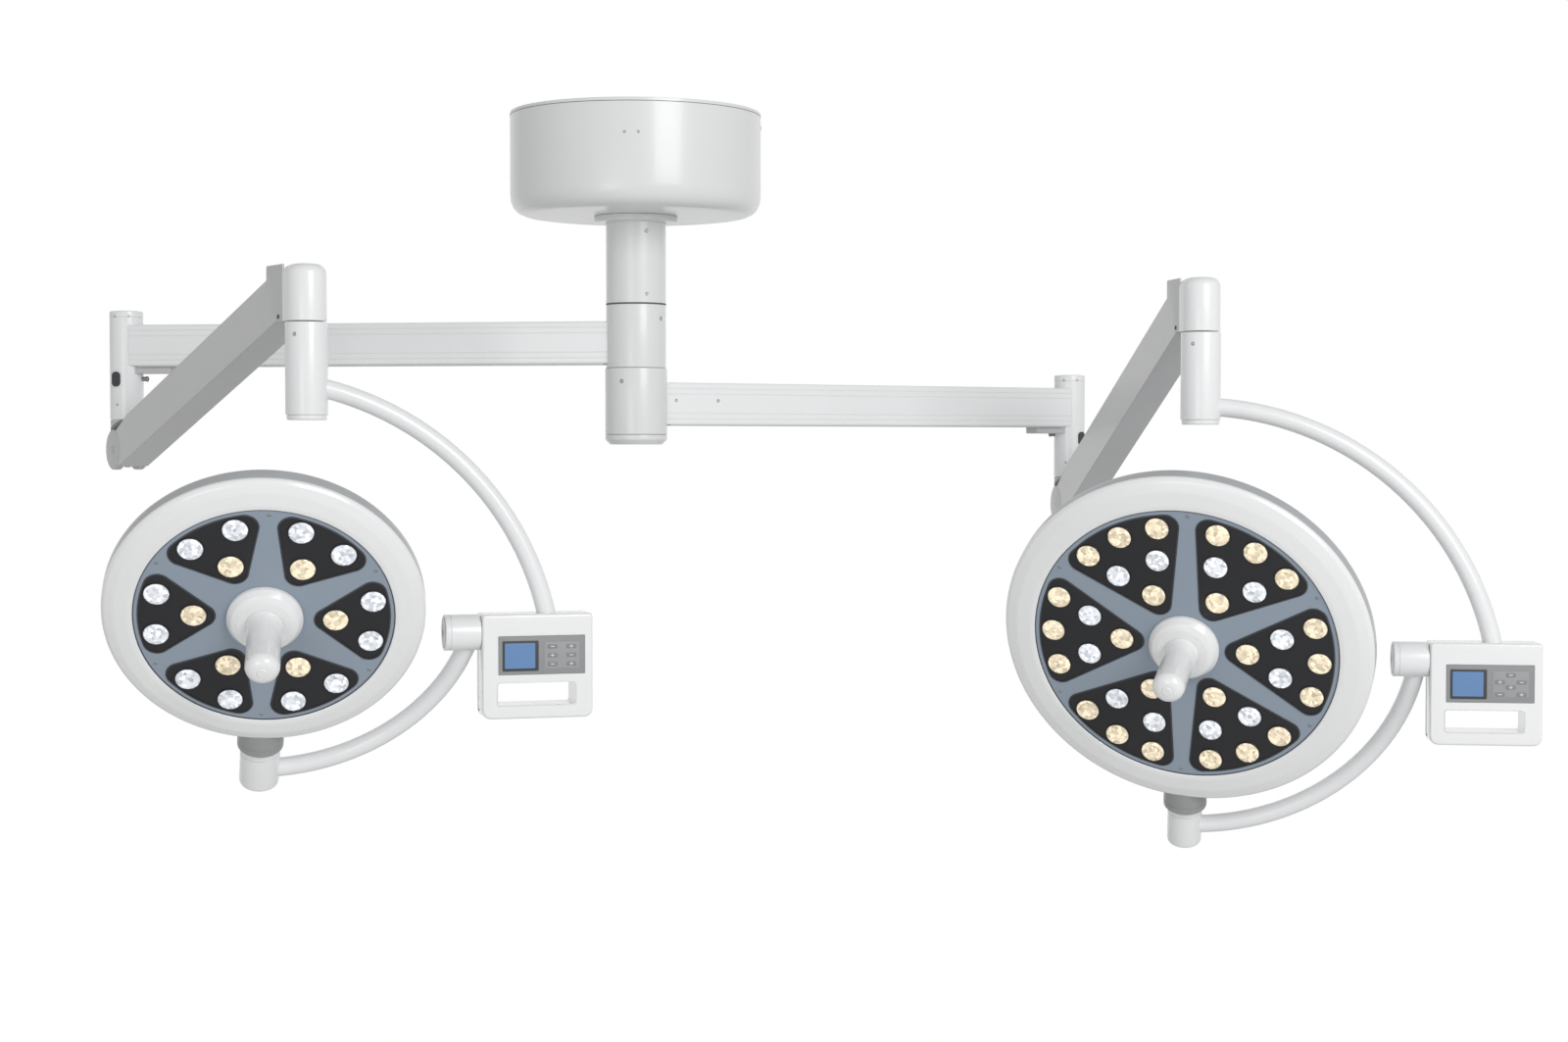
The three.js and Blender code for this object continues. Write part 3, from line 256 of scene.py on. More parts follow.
FRAME = paint("module_frame", (0.045, 0.048, 0.055), 0.3, 0.2, 1200, 0.1, 0.0004)
DARK = paint("dark_insert", (0.05, 0.053, 0.058), 0.5, 0.0, 1500, 0.15, 0.0004)
SEAM = paint("seam_shadow", (0.10, 0.105, 0.11), 0.7, 0.0, 1500, 0.1, 0.0003)
SCREW = metal("screw_steel", (0.34, 0.345, 0.35), 0.3)
STEEL = metal("bare_steel", (0.52, 0.53, 0.54), 0.34)
PANEL = paint("panel_grey", (0.29, 0.298, 0.305), 0.5, 0.05, 1600, 0.12, 0.0004)
FILM = paint("key_film", (0.34, 0.348, 0.356), 0.45, 0.1, 2200, 0.1, 0.0003)
KEY = paint("key_cap", (0.24, 0.25, 0.265), 0.45, 0.1, 2200, 0.1, 0.0003)
MARK = paint("key_mark", (0.80, 0.81, 0.82), 0.5, 0.0, 2200, 0.05, 0.0001)
SCREEN = display("screen_blue")
COOL = lamp("lens_cool", (0.78, 0.81, 0.86), 0.44)
WARM = lamp("lens_warm", (0.86, 0.74, 0.54), 0.48)
FLOOR = paint("floor_pale", (0.74, 0.74, 0.74), 0.75, 0.0, 60, 0.02, 0.0)

# ------------------------------------------------------------ shapes


def arc(x, y, radius, start, end, steps):
    """Points on a circle from one angle to another, in degrees."""
    return [
        (x + radius * math.cos(math.radians(a)), y + radius * math.sin(math.radians(a)))
        for a in (start + (end - start) * i / steps for i in range(steps + 1))
    ]


def softened(points, steps=5, closed=False):
    """A polyline whose points may carry a third number, the radius that rounds them."""
    out = []
    count = len(points)
    for i, point in enumerate(points):
        p = Vector(point[:2])
        radius = point[2] if len(point) > 2 else 0
        if not radius or (not closed and i in (0, count - 1)):
            out.append(tuple(p))
            continue
        before = Vector(points[i - 1][:2]) - p
        after = Vector(points[(i + 1) % count][:2]) - p
        half = before.angle(after) / 2
        run = min(radius / math.tan(half), 0.48 * before.length, 0.48 * after.length)
        a, b = p + before.normalized() * run, p + after.normalized() * run
        for k in range(steps + 1):
            t = k / steps
            out.append(tuple(a * (1 - t) ** 2 + p * 2 * t * (1 - t) + b * t ** 2))
    return out


def rectangle(left, bottom, right, top, corner):
    """A rounded rectangle, as a softened closed outline."""
    corners = [(left, bottom), (right, bottom), (right, top), (left, top)]
    radii = corner if isinstance(corner, (list, tuple)) else [corner] * 4
    return softened([(*c, r) for c, r in zip(corners, radii)], 6, True)


def window(left, top, width, height, corner):
    """A rounded rectangle hung from its upper left corner."""
    return rectangle(left, top - height, left + width, top, corner)


def around(x, z, half_width, half_height, corner):
    """A rounded rectangle about its middle."""
    return rectangle(x - half_width, z - half_height, x + half_width, z + half_height, corner)


def band(inner, outer, low, high):
    """The square section of a ring."""
    return [(inner, low), (outer, low), (outer, high), (inner, high)]


def groove(edge, centre, depth, step):
    """Three points of a shallow V cut into an edge."""
    return [(edge, centre - step), (edge - depth, centre), (edge, centre + step)]


def mesh_object(name, vertices, faces, place, material, sharp=34):
    """A mesh from points in millimetres, placed in the row frame in metres."""
    mesh = bpy.data.meshes.new(name)
    world = Matrix.Scale(MM, 4) @ place
    mesh.from_pydata([world @ Vector(v) for v in vertices], [], faces)
    mesh.materials.append(material)
    for polygon in mesh.polygons:
        polygon.use_smooth = sharp > 0
    if sharp > 0:
        mesh.set_sharp_from_angle(angle=math.radians(sharp))
    mesh.validate()
    made = bpy.data.objects.new(name, mesh)
    bpy.context.scene.collection.objects.link(made)
    return made


def lathe(name, profile, place, material, sides=96, closed=False, sharp=34):
    """Turns a profile of (radius, height[, rounding]) about Z."""
    points = softened(profile, 5, closed)
    vertices, rings = [], []
    for radius, height in points:
        if radius < 1e-6:
            rings.append([len(vertices)] * sides)
            vertices.append((0, 0, height))
            continue
        rings.append(list(range(len(vertices), len(vertices) + sides)))
        for i in range(sides):
            a = 2 * math.pi * i / sides
            vertices.append((radius * math.cos(a), radius * math.sin(a), height))
    pairs = list(zip(rings, rings[1:])) + ([(rings[-1], rings[0])] if closed else [])
    faces = []
    for low, high in pairs:
        for i in range(sides):
            j = (i + 1) % sides
            face = [low[i], low[j], high[j], high[i]]
            face = list(dict.fromkeys(face))
            if len(face) > 2:
                faces.append(face)
    return mesh_object(name, vertices, faces, place, material, sharp)


def inset(outline, distance):
    """The closed outline moved inwards, for an outline that runs anticlockwise."""
    out = []
    count = len(outline)
    for i, (x, y) in enumerate(outline):
        before = Vector((x, y)) - Vector(outline[i - 1])
        after = Vector(outline[(i + 1) % count]) - Vector((x, y))
        n1 = Vector((-before.y, before.x)).normalized()
        n2 = Vector((-after.y, after.x)).normalized()
        normal = n1 + n2
        normal = normal.normalized() if normal.length > 1e-6 else n1
        reach = distance / max(0.35, normal.dot(n1))
        out.append((x + normal.x * reach, y + normal.y * reach))
    return out


def prism(name, outline, bottom, top, place, material, round_top=0.0, round_bottom=0.0, steps=4):
    """Extrudes a closed outline along Z, with rounded upper and lower edges."""
    clean = [p for i, p in enumerate(outline) if (Vector(p) - Vector(outline[i - 1])).length > 1e-5]
    area = sum(a[0] * b[1] - b[0] * a[1] for a, b in zip(clean, clean[1:] + clean[:1]))
    if area < 0:
        clean.reverse()
    rows = []
    for k in range(steps + 1 if round_bottom else 1):
        a = math.pi / 2 * (1 - k / steps) if round_bottom else 0
        rows.append((round_bottom * (1 - math.cos(a)), bottom + round_bottom * (1 - math.sin(a))))
    for k in range(steps + 1 if round_top else 1):
        a = math.pi / 2 * k / steps if round_top else 0
        rows.append((round_top * (1 - math.cos(a)), top - round_top * (1 - math.sin(a))))
    vertices = []
    for distance, height in rows:
        vertices += [(x, y, height) for x, y in (inset(clean, distance) if distance else clean)]
    count = len(clean)
    faces = [list(range(count))[::-1], [len(vertices) - count + i for i in range(count)]]
    for row in range(len(rows) - 1):
        for i in range(count):
            j = (i + 1) % count
            base = row * count
            faces.append([base + i, base + j, base + count + j, base + count + i])
    return mesh_object(name, vertices, faces, place, material)


def sideways(name, outline, width, place, material, rounding=0.0, centre=0.0):
    """Extrudes an outline in X and Z along Y, centred on the given height in Y."""
    turned = place @ Matrix.Translation((0, centre, 0)) @ Matrix.Rotation(math.pi / 2, 4, "X")
    return prism(name, outline, -width / 2, width / 2, turned, material, rounding, rounding)


def tube(name, circle, start, end, place, material, radius=TUBE_RADIUS, steps=56, sides=32):
    """A round bar bent along part of a circle in X and Z."""
    cx, cz, bend = circle
    vertices, faces = [], []
    for i in range(steps + 1):
        a = math.radians(start + (end - start) * i / steps)
        for k in range(sides):
            b = 2 * math.pi * k / sides
            reach = bend + radius * math.cos(b)
            vertices.append((cx + reach * math.cos(a), radius * math.sin(b), cz + reach * math.sin(a)))
    for i in range(steps):
        for k in range(sides):
            m = (k + 1) % sides
            faces.append([i * sides + k, i * sides + m, (i + 1) * sides + m, (i + 1) * sides + k])
    faces += [list(range(sides))[::-1], [steps * sides + k for k in range(sides)]]
    return mesh_object(name, vertices, faces, place, material)


def carve(made, *tools):
    """Cuts the tools out of a piece and throws the tools away."""
    for tool in tools:
        cut = made.modifiers.new("cut", "BOOLEAN")
        cut.operation = "DIFFERENCE"
        cut.solver = "EXACT"
        cut.object = tool
    shape = bpy.data.meshes.new_from_object(made.evaluated_get(bpy.context.evaluated_depsgraph_get()))
    made.modifiers.clear()
    made.data = shape
    shape.set_sharp_from_angle(angle=math.radians(30))
    for tool in tools:
        bpy.data.objects.remove(tool)


def piece(made, body, slot_name, *nodes):
    """Puts a piece on its body and hides the CAD nodes it stands for."""
    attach(made, body)
    if nodes:
        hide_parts(*nodes)


def under(parent, position, degrees=(0, 0, 0)):
    """A frame moved and turned in its parent's frame."""
    x, y, z = (math.radians(d) for d in degrees)
    turn = Matrix.Rotation(x, 4, "X") @ Matrix.Rotation(y, 4, "Y") @ Matrix.Rotation(z, 4, "Z")
    return parent @ Matrix.Translation(position) @ turn


def spun(parent, azimuth):
    """A frame turned about its parent's Z."""
    return under(parent, (0, 0, 0), (0, 0, azimuth))


def outward(parent, azimuth, radius, height):
    """A frame on a cylinder's wall: Z points out of the wall."""
    return under(parent, (0, 0, height), (0, 0, azimuth)) @ under(Matrix(), (radius, 0, 0), (0, 90, 0))


def screw(name, place, body, radius=2.6, proud=0.5, material=SCREW):
    """A countersunk socket screw: a ring, a sunk socket and a domed edge."""
    profile = [
        (0, -1.2), (0.45 * radius, -1.2), (0.45 * radius, proud - 0.1, 0.2), (0.8 * radius, proud, 0.3),
        (radius, 0, 0.2), (radius, -1),
    ]
    piece(lathe(name, profile, place, material, 24), body, "bare_steel")


# ------------------------------------------------------------ ceiling and column


def canopy_pieces():
    """The rolled cover, its seam under the ceiling and the ring that closes its throat."""
    bottom, inside, throat = -CANOPY_HEIGHT, CANOPY_RADIUS - CANOPY_WALL, COLLAR_RADIUS - COLLAR_LAP
    floor = bottom + CANOPY_WALL
    cover = lathe("canopy_cover", [
        (inside, 0), (CANOPY_RADIUS, 0, 0.6), (CANOPY_RADIUS, bottom, CANOPY_CORNER),
        (throat, bottom), (throat, floor), (inside, floor, CANOPY_CORNER),
    ], ROOT, SHADED_COLUMN_WHITE, 160, True)
    piece(cover, BASE, "white_enamel", "canopy")
    seam = band(CANOPY_RADIUS - 0.5, CANOPY_RADIUS + 0.15, *CANOPY_SEAM)
    piece(lathe("canopy_seam", seam, ROOT, SEAM, 160, True), BASE, "white_enamel")
    top = bottom - GAP
    collar = lathe("canopy_throat_ring", [
        (COLUMN_RADIUS + GAP, top - COLLAR_HEIGHT), (COLLAR_RADIUS, top - COLLAR_HEIGHT, 2.5),
        (COLLAR_RADIUS, top, 0.4), (COLUMN_RADIUS + GAP, top),
    ], ROOT, SHADED_COLUMN_WHITE, 96, True)
    piece(collar, BASE, "white_enamel", "canopy_collar")


def column_pieces(end):
    """The fixed tube and the chamfered cap whose top is at the given height."""
    column = lathe("column", [
        (COLUMN_INNER, COLUMN_TOP), (COLUMN_RADIUS, COLUMN_TOP),
        (COLUMN_RADIUS, -COLUMN_BOTTOM, 0.8), (COLUMN_INNER, -COLUMN_BOTTOM),
    ], ROOT, SHADED_COLUMN_WHITE, 96, True)
    piece(column, BASE, "white_enamel", "column_tube")
    wide, low = UNITS[-1]["hub_radius"], end - END_CAP_HEIGHT
    cap = lathe("column_end", [
        (0, low), (wide - END_CAP_CHAMFER, low, 1), (wide, low + END_CAP_CHAMFER, 1),
        (wide, end, 0.5), (0, end),
    ], ROOT, SHADED_COLUMN_WHITE, 96)
    piece(cap, BASE, "white_gloss", "column_end_cap")


def ceiling_pieces():
    last = UNITS[-1]
    end = -(last["hub_top"] + last["hub_height"]) - RUN
    canopy_pieces()
    column_pieces(end)
    for i, (azimuth, radius, height, size) in enumerate(CEILING_SCREWS):
        screw(f"ceiling_screw_{i + 1}", outward(ROOT, azimuth, radius, height), BASE, size)
    seams = [(-COLUMN_BOTTOM - RUN / 2, 0.25, 1.2), (end + RUN / 2, -0.25, 0.7)]
    for i, (height, proud, half) in enumerate(seams):
        wide = COLUMN_RADIUS + proud
        section = band(wide - SEAM_DEPTH, wide, height - half, height + half)
        piece(lathe(f"column_seam_{i + 1}", section, ROOT, SEAM, 96, True), BASE, "brake_dark")


# ------------------------------------------------------------ extension arm


def arm_frame(unit):
    """X runs along the extension arm, on the beam's middle line."""
    return under(ROOT, (0, 0, -unit["hub_top"] - unit["arm_drop"]), (0, 0, unit["arm_azimuth"]))


def hub_piece(unit, arm, body):
    wide, top = unit["hub_radius"], unit["arm_drop"]
    bottom = top - unit["hub_height"]
    # The hub takes the darker copy of the white enamel, a painted shade.
    hub = lathe(unit["name"] + "_hub", [
        (ARM_HUB_BORE, bottom), (wide, bottom, 1.2), (wide, top, 1.2), (ARM_HUB_BORE, top),
    ], arm, SHADED_COLUMN_WHITE, 96, True)
    piece(hub, body, "white_enamel", unit["name"] + "_arm_hub")


def beam_outline():
    """The extrusion's section with its shallow grooves, in Y and Z."""
    half, high = BEAM_WIDTH / 2, BEAM_HEIGHT / 2
    right = []
    for height in BEAM_GROOVES:
        right += groove(half, height, 0.5, 0.7)
    left = [(-x, -z) for x, z in right]
    return softened([(half, -high, BEAM_CORNER), *right, (half, high, BEAM_CORNER),
                     (-half, high, BEAM_CORNER), *left, (-half, -high, BEAM_CORNER)], 6, True)


def beam_pieces(unit, arm, body):
    """The extrusion, and a grey strip along its underside that paints the shade under the beam."""
    name, start, stop = unit["name"], unit["hub_radius"], unit["arm_length"]
    along = arm @ Matrix(((0, 0, 1, 0), (1, 0, 0, 0), (0, 1, 0, 0), (0, 0, 0, 1)))
    beam = prism(name + "_beam", beam_outline(), start - 6, stop - 12, along, WHITE)
    piece(beam, body, "white_enamel", name + "_arm_beam")
    half, low = BEAM_WIDTH / 2 - 2, -BEAM_HEIGHT / 2
    strip = rectangle(-half, low - 1.2, half, low + 1, 0.5)
    # A grey strip under the beam: painted shade along its underside.
    piece(prism(name + "_beam_lip", strip, start + 1, stop - 26, along, KNUCKLE), body, "white_enamel")


def housing_pieces(unit, end, body):
    """The bearing housing with its lid, the web under the beam's end, painted grey as a shade under the beam,
    and the stop screw.
    """
    name = unit["name"]
    lid, roof = HUB_ABOVE - 0.6, HUB_ABOVE - HUB_ROOF
    housing = lathe(name + "_bearing_housing", [
        (0, HUB_ABOVE), (HUB_RADIUS - 6, HUB_ABOVE, 1), (HUB_RADIUS - 5.5, lid), (HUB_RADIUS, lid, 1.6),
        *groove(HUB_RADIUS, HUB_ABOVE - 9.4, 0.5, -0.4), (HUB_RADIUS, -HUB_BELOW, 1.2),
        (HUB_BORE, -HUB_BELOW), (HUB_BORE, roof), (0, roof),
    ], end, WHITE, 64)
    piece(housing, body, "white_enamel", name + "_outer_hub")
    top, far, near = -BEAM_HEIGHT / 2, -HUB_RADIUS - GUSSET_LENGTH, -10
    low = top - GUSSET_HEIGHT
    web = softened([(far, top), (far, low, 2), (near, low), (near, top)], 4, True)
    # The web is painted knuckle grey: painted shade under the beam's end.
    piece(sideways(name + "_gusset", web, GUSSET_WIDTH, end, KNUCKLE, 1), body, "white_enamel")
    front = spun(end, -unit["arm_azimuth"])
    azimuth, height = unit["stop"]
    place = outward(front, azimuth, HUB_RADIUS - 1, height)
    piece(lathe(name + "_stop_screw", STOP_PROFILE, place, SCREW, 28), body, "bare_steel")
    for i, (azimuth, height) in enumerate(HOUSING_SCREWS):
        screw(f"{name}_housing_screw_{i + 1}", outward(front, azimuth, HUB_RADIUS, height), body, 1.8, 0.3)


def arm_pieces(unit):
    name, body = unit["name"], unit["name"] + "_arm"
    arm = arm_frame(unit)
    hub_piece(unit, arm, body)
    beam_pieces(unit, arm, body)
    housing_pieces(unit, under(arm, (unit["arm_length"], 0, 0)), body)
    azimuth, height = unit["hub_screw"]
    centre = spun(arm, -unit["arm_azimuth"])
    screw(name + "_hub_screw", outward(centre, azimuth, unit["hub_radius"], height), body, 3.0)
    for i, reach in enumerate(unit["beam_screws"]):
        place = under(arm, (reach, -BEAM_WIDTH / 2, 4.7), (90, 0, 0))
        screw(f"{name}_beam_screw_{i + 1}", place, body, 2.4)


# ------------------------------------------------------------ spring arm


def lifted(unit):
    """How far out and how far up the spring arm carries its front pivot."""
    slope = math.radians(unit["elevation"])
    return ARM_LENGTH * math.cos(slope), ARM_LENGTH * math.sin(slope)


def knuckle_neck(unit, swivel, body):
    """The neck under the bearing housing, cut away where the arm and its tongue move."""
    name, reach = unit["name"], 60
    up, wide = PIVOT_DROP - HUB_BELOW - RUN, HUB_RADIUS - 0.5
    neck = lathe(name + "_knuckle_neck", [
        (0, NECK_LOW), (wide, NECK_LOW, 1.5), (wide, up, 1.5), (0, up),
    ], swivel, KNUCKLE, 64)
    front_space = sideways("front_space", [
        (NECK_REAR, -reach), (reach, -reach), (reach, up + 5), (NECK_FRONT, up + 5),
        (NECK_FRONT, up - 1), (NECK_REAR, DRUM),
    ], 2 * reach, swivel, KNUCKLE)
    slot = rectangle(-NECK_FRONT, -reach, reach, DRUM + 1, 1)
    tongue_space = sideways("tongue_space", slot, TONGUE + 2 * RUN, swivel, KNUCKLE)
    carve(neck, front_space, tongue_space)
    piece(neck, body, "knuckle_grey", name + "_rear_knuckle")


def knuckle_pieces(unit, swivel):
    name, body = unit["name"], unit["name"] + "_swivel"
    knuckle_neck(unit, swivel, body)
    outline = arc(0, 0, DRUM, 0, 356, 72)
    for i, side in enumerate((-1, 1)):
        middle = side * (TONGUE / 2 + RUN + CHEEK / 2)
        cheek = sideways(f"{name}_knuckle_cheek_{i + 1}", outline, CHEEK, swivel, KNUCKLE, 1.5, middle)
        piece(cheek, body, "knuckle_grey")
        place = under(swivel, (0, side * (ARM_WIDTH / 2 - 0.4), 0), (-90 * side, 0, 0))
        cap = lathe(f"{name}_rear_pin_cap_{i + 1}", PIN_CAP_PROFILE, place, STEEL, 32)
        piece(cap, body, "bare_steel")


def front_head_pieces(unit, front):
    """The front head: a rounded nose, two grey cheeks, the drums on the pin and small screws."""
    name, body, half = unit["name"], unit["name"] + "_front", HEAD_WIDTH / 2
    nose = [(HEAD_REAR, -half), *arc(HEAD_REACH, 0, half, -90, 90, 40), (HEAD_REAR, half)]
    made = prism(name + "_head_front", nose, -HEAD_BELOW, HEAD_ABOVE, front, WHITE, HEAD_CROWN, 0.6, 8)
    piece(made, body, "white_enamel", name + "_front_head")
    lap, inner = HEAD_REAR + 1, ARM_WIDTH / 2 + RUN
    thick = half - inner
    side = softened([(-HEAD_CHEEK, 5), (-HEAD_CHEEK, HEAD_ABOVE, 3), (lap, HEAD_ABOVE),
                     (lap, -HEAD_BELOW), (-8, -HEAD_BELOW, 3)], 4, True)
    disc = [(0, 0), (DRUM, 0, 1), (DRUM, CHEEK, 0.5), (0, CHEEK)]
    for i, sign in enumerate((-1, 1)):
        middle = sign * (inner + thick / 2)
        cheek = sideways(f"{name}_head_cheek_{i + 1}", side, thick, front, KNUCKLE, 0.8, middle)
        piece(cheek, body, "knuckle_grey")
        place = under(front, (0, sign * (TONGUE / 2 + RUN), 0), (-90 * sign, 0, 0))
        piece(lathe(f"{name}_head_drum_{i + 1}", disc, place, KNUCKLE, 64), body, "knuckle_grey")
        place = under(front, (2, sign * half, -31), (-90 * sign, 0, 0))
        screw(f"{name}_head_pin_{i + 1}", place, body, 3.2, 0.8, DARK)
    place = under(front, (HEAD_REACH, 0, HEAD_ABOVE))
    piece(lathe(name + "_head_cover_screw", COVER_SCREW_PROFILE, place, SCREW, 28), body, "bare_steel")


def spring_arm_pieces(unit):
    turn = unit["spring_azimuth"] - unit["arm_azimuth"]
    swivel = under(arm_frame(unit), (unit["arm_length"], 0, -PIVOT_DROP), (0, 0, turn))
    reach, rise = lifted(unit)
    knuckle_pieces(unit, swivel)
    front_head_pieces(unit, under(swivel, (reach, 0, rise)))


# ------------------------------------------------------------ yoke


def angle_at_x(circle, x):
    return math.degrees(math.acos((x - circle[0]) / circle[2]))


def angle_at_z(circle, z):
    return math.degrees(math.asin((z - circle[1]) / circle[2]))


def yoke_frames(unit):
    """The frames of the yoke, of its tilting half and of the lamp head."""
    azimuth = math.radians(unit["spring_azimuth"])
    rear = arm_frame(unit) @ Vector((unit["arm_length"], 0, -PIVOT_DROP))
    reach, rise = lifted(unit)
    reach += HEAD_REACH
    place = rear + Vector((reach * math.cos(azimuth), reach * math.sin(azimuth), rise - unit["axis_drop"]))
    yoke = under(ROOT, place, (0, 0, unit["yoke_azimuth"]))
    tilting = under(yoke, (0, 0, 0), (unit["tilt"], 0, 0))
    head = under(tilting, (unit["swivel_x"], 0, unit["head_up"]), (0, 0, unit["spin"]))
    return yoke, tilting, head


def sleeve_pieces(unit, yoke, body):
    """The swivel sleeve under the front head and the tube that leaves it."""
    name, top = unit["name"], unit["axis_drop"] - HEAD_BELOW - RUN
    low, wall, lid = top - SLEEVE_LENGTH, SLEEVE_RADIUS - 1.6, top - 0.6
    sleeve = lathe(name + "_swivel_sleeve", [
        (0, low), (wall, low, 1.5), (wall, low + 6), (SLEEVE_RADIUS, low + 7, 0.8),
        (SLEEVE_RADIUS, top - 1, 1), (22, lid), (0, lid),
    ], yoke, WHITE, 72)
    piece(sleeve, body, "white_enamel", name + "_sleeve")
    front = spun(yoke, -unit["yoke_azimuth"])
    for label, turn in (("_sleeve_screw", 0), ("_sleeve_screw_rear", 180)):
        place = outward(front, unit["sleeve_hole"] + turn, SLEEVE_RADIUS, top - 17)
        screw(name + label, place, body, 2.6)
    circle = unit["upper"]
    start, stop = angle_at_x(circle, 20), angle_at_z(circle, BOX_ABOVE - 8)
    upper = tube(name + "_upper_tube", circle, start, stop, yoke, TUBE_WHITE)
    piece(upper, body, "white_enamel", name + "_upper_arc")


def control_box_pieces(unit, yoke, body):
    """The control box with its finger slot and panel recess, the slot's lips and the hinge shaft."""
    name, left, floor = unit["name"], unit["box_left"], BOX_ABOVE - BOX_HEIGHT
    outline = rectangle(left, floor, left + BOX_WIDTH, BOX_ABOVE, BOX_CORNERS)
    shell = sideways(name + "_control_box", outline, BOX_DEPTH, yoke, GLOSS, 3.5)
    slot = window(left + SLOT_LEFT, -SLOT_TOP, SLOT_WIDTH, SLOT_HEIGHT, 4)
    recess = rectangle(left + PANEL_LEFT - GAP, -PANEL_TOP - PANEL_HEIGHT - GAP,
                       left + PANEL_LEFT + PANEL_WIDTH + GAP, -PANEL_TOP + GAP, 1)
    carve(
        shell,
        sideways(name + "_slot_tool", slot, BOX_DEPTH + 10, yoke, GLOSS),
        sideways(name + "_recess_tool", recess, 8, yoke, GLOSS, 0, -BOX_DEPTH / 2 - 2),
    )
    piece(shell, body, "white_gloss", name + "_control_housing")
    lip_outline = inset(slot, -1.6)
    for i, side in enumerate((-1, 1)):
        middle = side * (BOX_DEPTH / 2 + 0.1)
        lip = sideways(f"{name}_slot_lip_{i + 1}", lip_outline, 0.8, yoke, GLOSS, 0.3, middle)
        carve(lip, sideways(f"{name}_lip_tool_{i + 1}", slot, 10, yoke, GLOSS, 0, side * BOX_DEPTH / 2))
        piece(lip, body, "white_gloss")
    inside = 10 - BARREL_LENGTH
    rod = [(0, inside), (HINGE_SHAFT, inside), (HINGE_SHAFT, 2), (0, 2)]
    shaft = lathe(name + "_hinge_shaft", rod, under(yoke, (left, 0, 0), (0, 90, 0)), STEEL, 32)
    piece(shaft, body, "bare_steel")
    line = rectangle(left - 0.12, floor + 8, left + 4, BOX_ABOVE - 8, 0.1)
    piece(sideways(name + "_box_seam", line, 0.5, yoke, SEAM, 0, 12), body, "white_gloss")


def panel_pieces(unit, yoke, body):
    """The grey panel with its screen and membrane keys."""
    name = unit["name"]
    left, top = unit["box_left"] + PANEL_LEFT, -PANEL_TOP

    def flat(label, outline, thick, material, edge, depth, slot_name, *nodes):
        """A thin plate whose middle is at a depth behind the box's front."""
        made = sideways(f"{name}_{label}", outline, thick, yoke, material, edge, -BOX_DEPTH / 2 + depth)
        piece(made, body, slot_name, *nodes)

    plate = window(left, top, PANEL_WIDTH, PANEL_HEIGHT, 1)
    flat("panel", plate, 2.2, PANEL, 0.4, 0.7, "panel_grey", name + "_display_panel")
    film = window(left + KEYS_LEFT, top - KEYS_TOP, KEYS_WIDTH, KEYS_HEIGHT, 2)
    flat("key_film", film, 0.5, FILM, 0.15, -0.6, "key_film", name + "_keypad")
    screen_x, screen_z = left + SCREEN_LEFT, top - SCREEN_TOP
    bezel = rectangle(screen_x - 3, screen_z - SCREEN_HEIGHT - 3.5,
                      screen_x + SCREEN_WIDTH + 4.5, screen_z + 3, 1.5)
    flat("screen_bezel", bezel, 1.2, DARK, 0.4, -0.7, "panel_grey")
    glass = window(screen_x, screen_z, SCREEN_WIDTH, SCREEN_HEIGHT, 1.5)
    flat("screen", glass, 0.4, SCREEN, 0.1, -1.25, "panel_grey")
    middle_x = left + KEYS_LEFT + KEYS_WIDTH / 2
    middle_z = top - KEYS_TOP - KEYS_HEIGHT / 2
    for i, (x, z) in enumerate(unit["keys"]):
        centre = (middle_x + x, middle_z + z)
        flat(f"key_{i + 1}", around(*centre, *KEY_SIZE, 1.6), 0.5, KEY, 0.2, -1.0, "key_film")
        flat(f"key_mark_{i + 1}", around(*centre, *MINUS_SIZE, 0.2), 0.1, MARK, 0, -1.3, "key_film")
        if i % 2:
            flat(f"key_bar_{i + 1}", around(*centre, *PLUS_SIZE, 0.2), 0.1, MARK, 0, -1.3, "key_film")


def yoke_pieces(unit):
    body = unit["name"] + "_yoke"
    yoke, _, _ = yoke_frames(unit)
    sleeve_pieces(unit, yoke, body)
    control_box_pieces(unit, yoke, body)
    panel_pieces(unit, yoke, body)


# ------------------------------------------------------------ lower half of the yoke


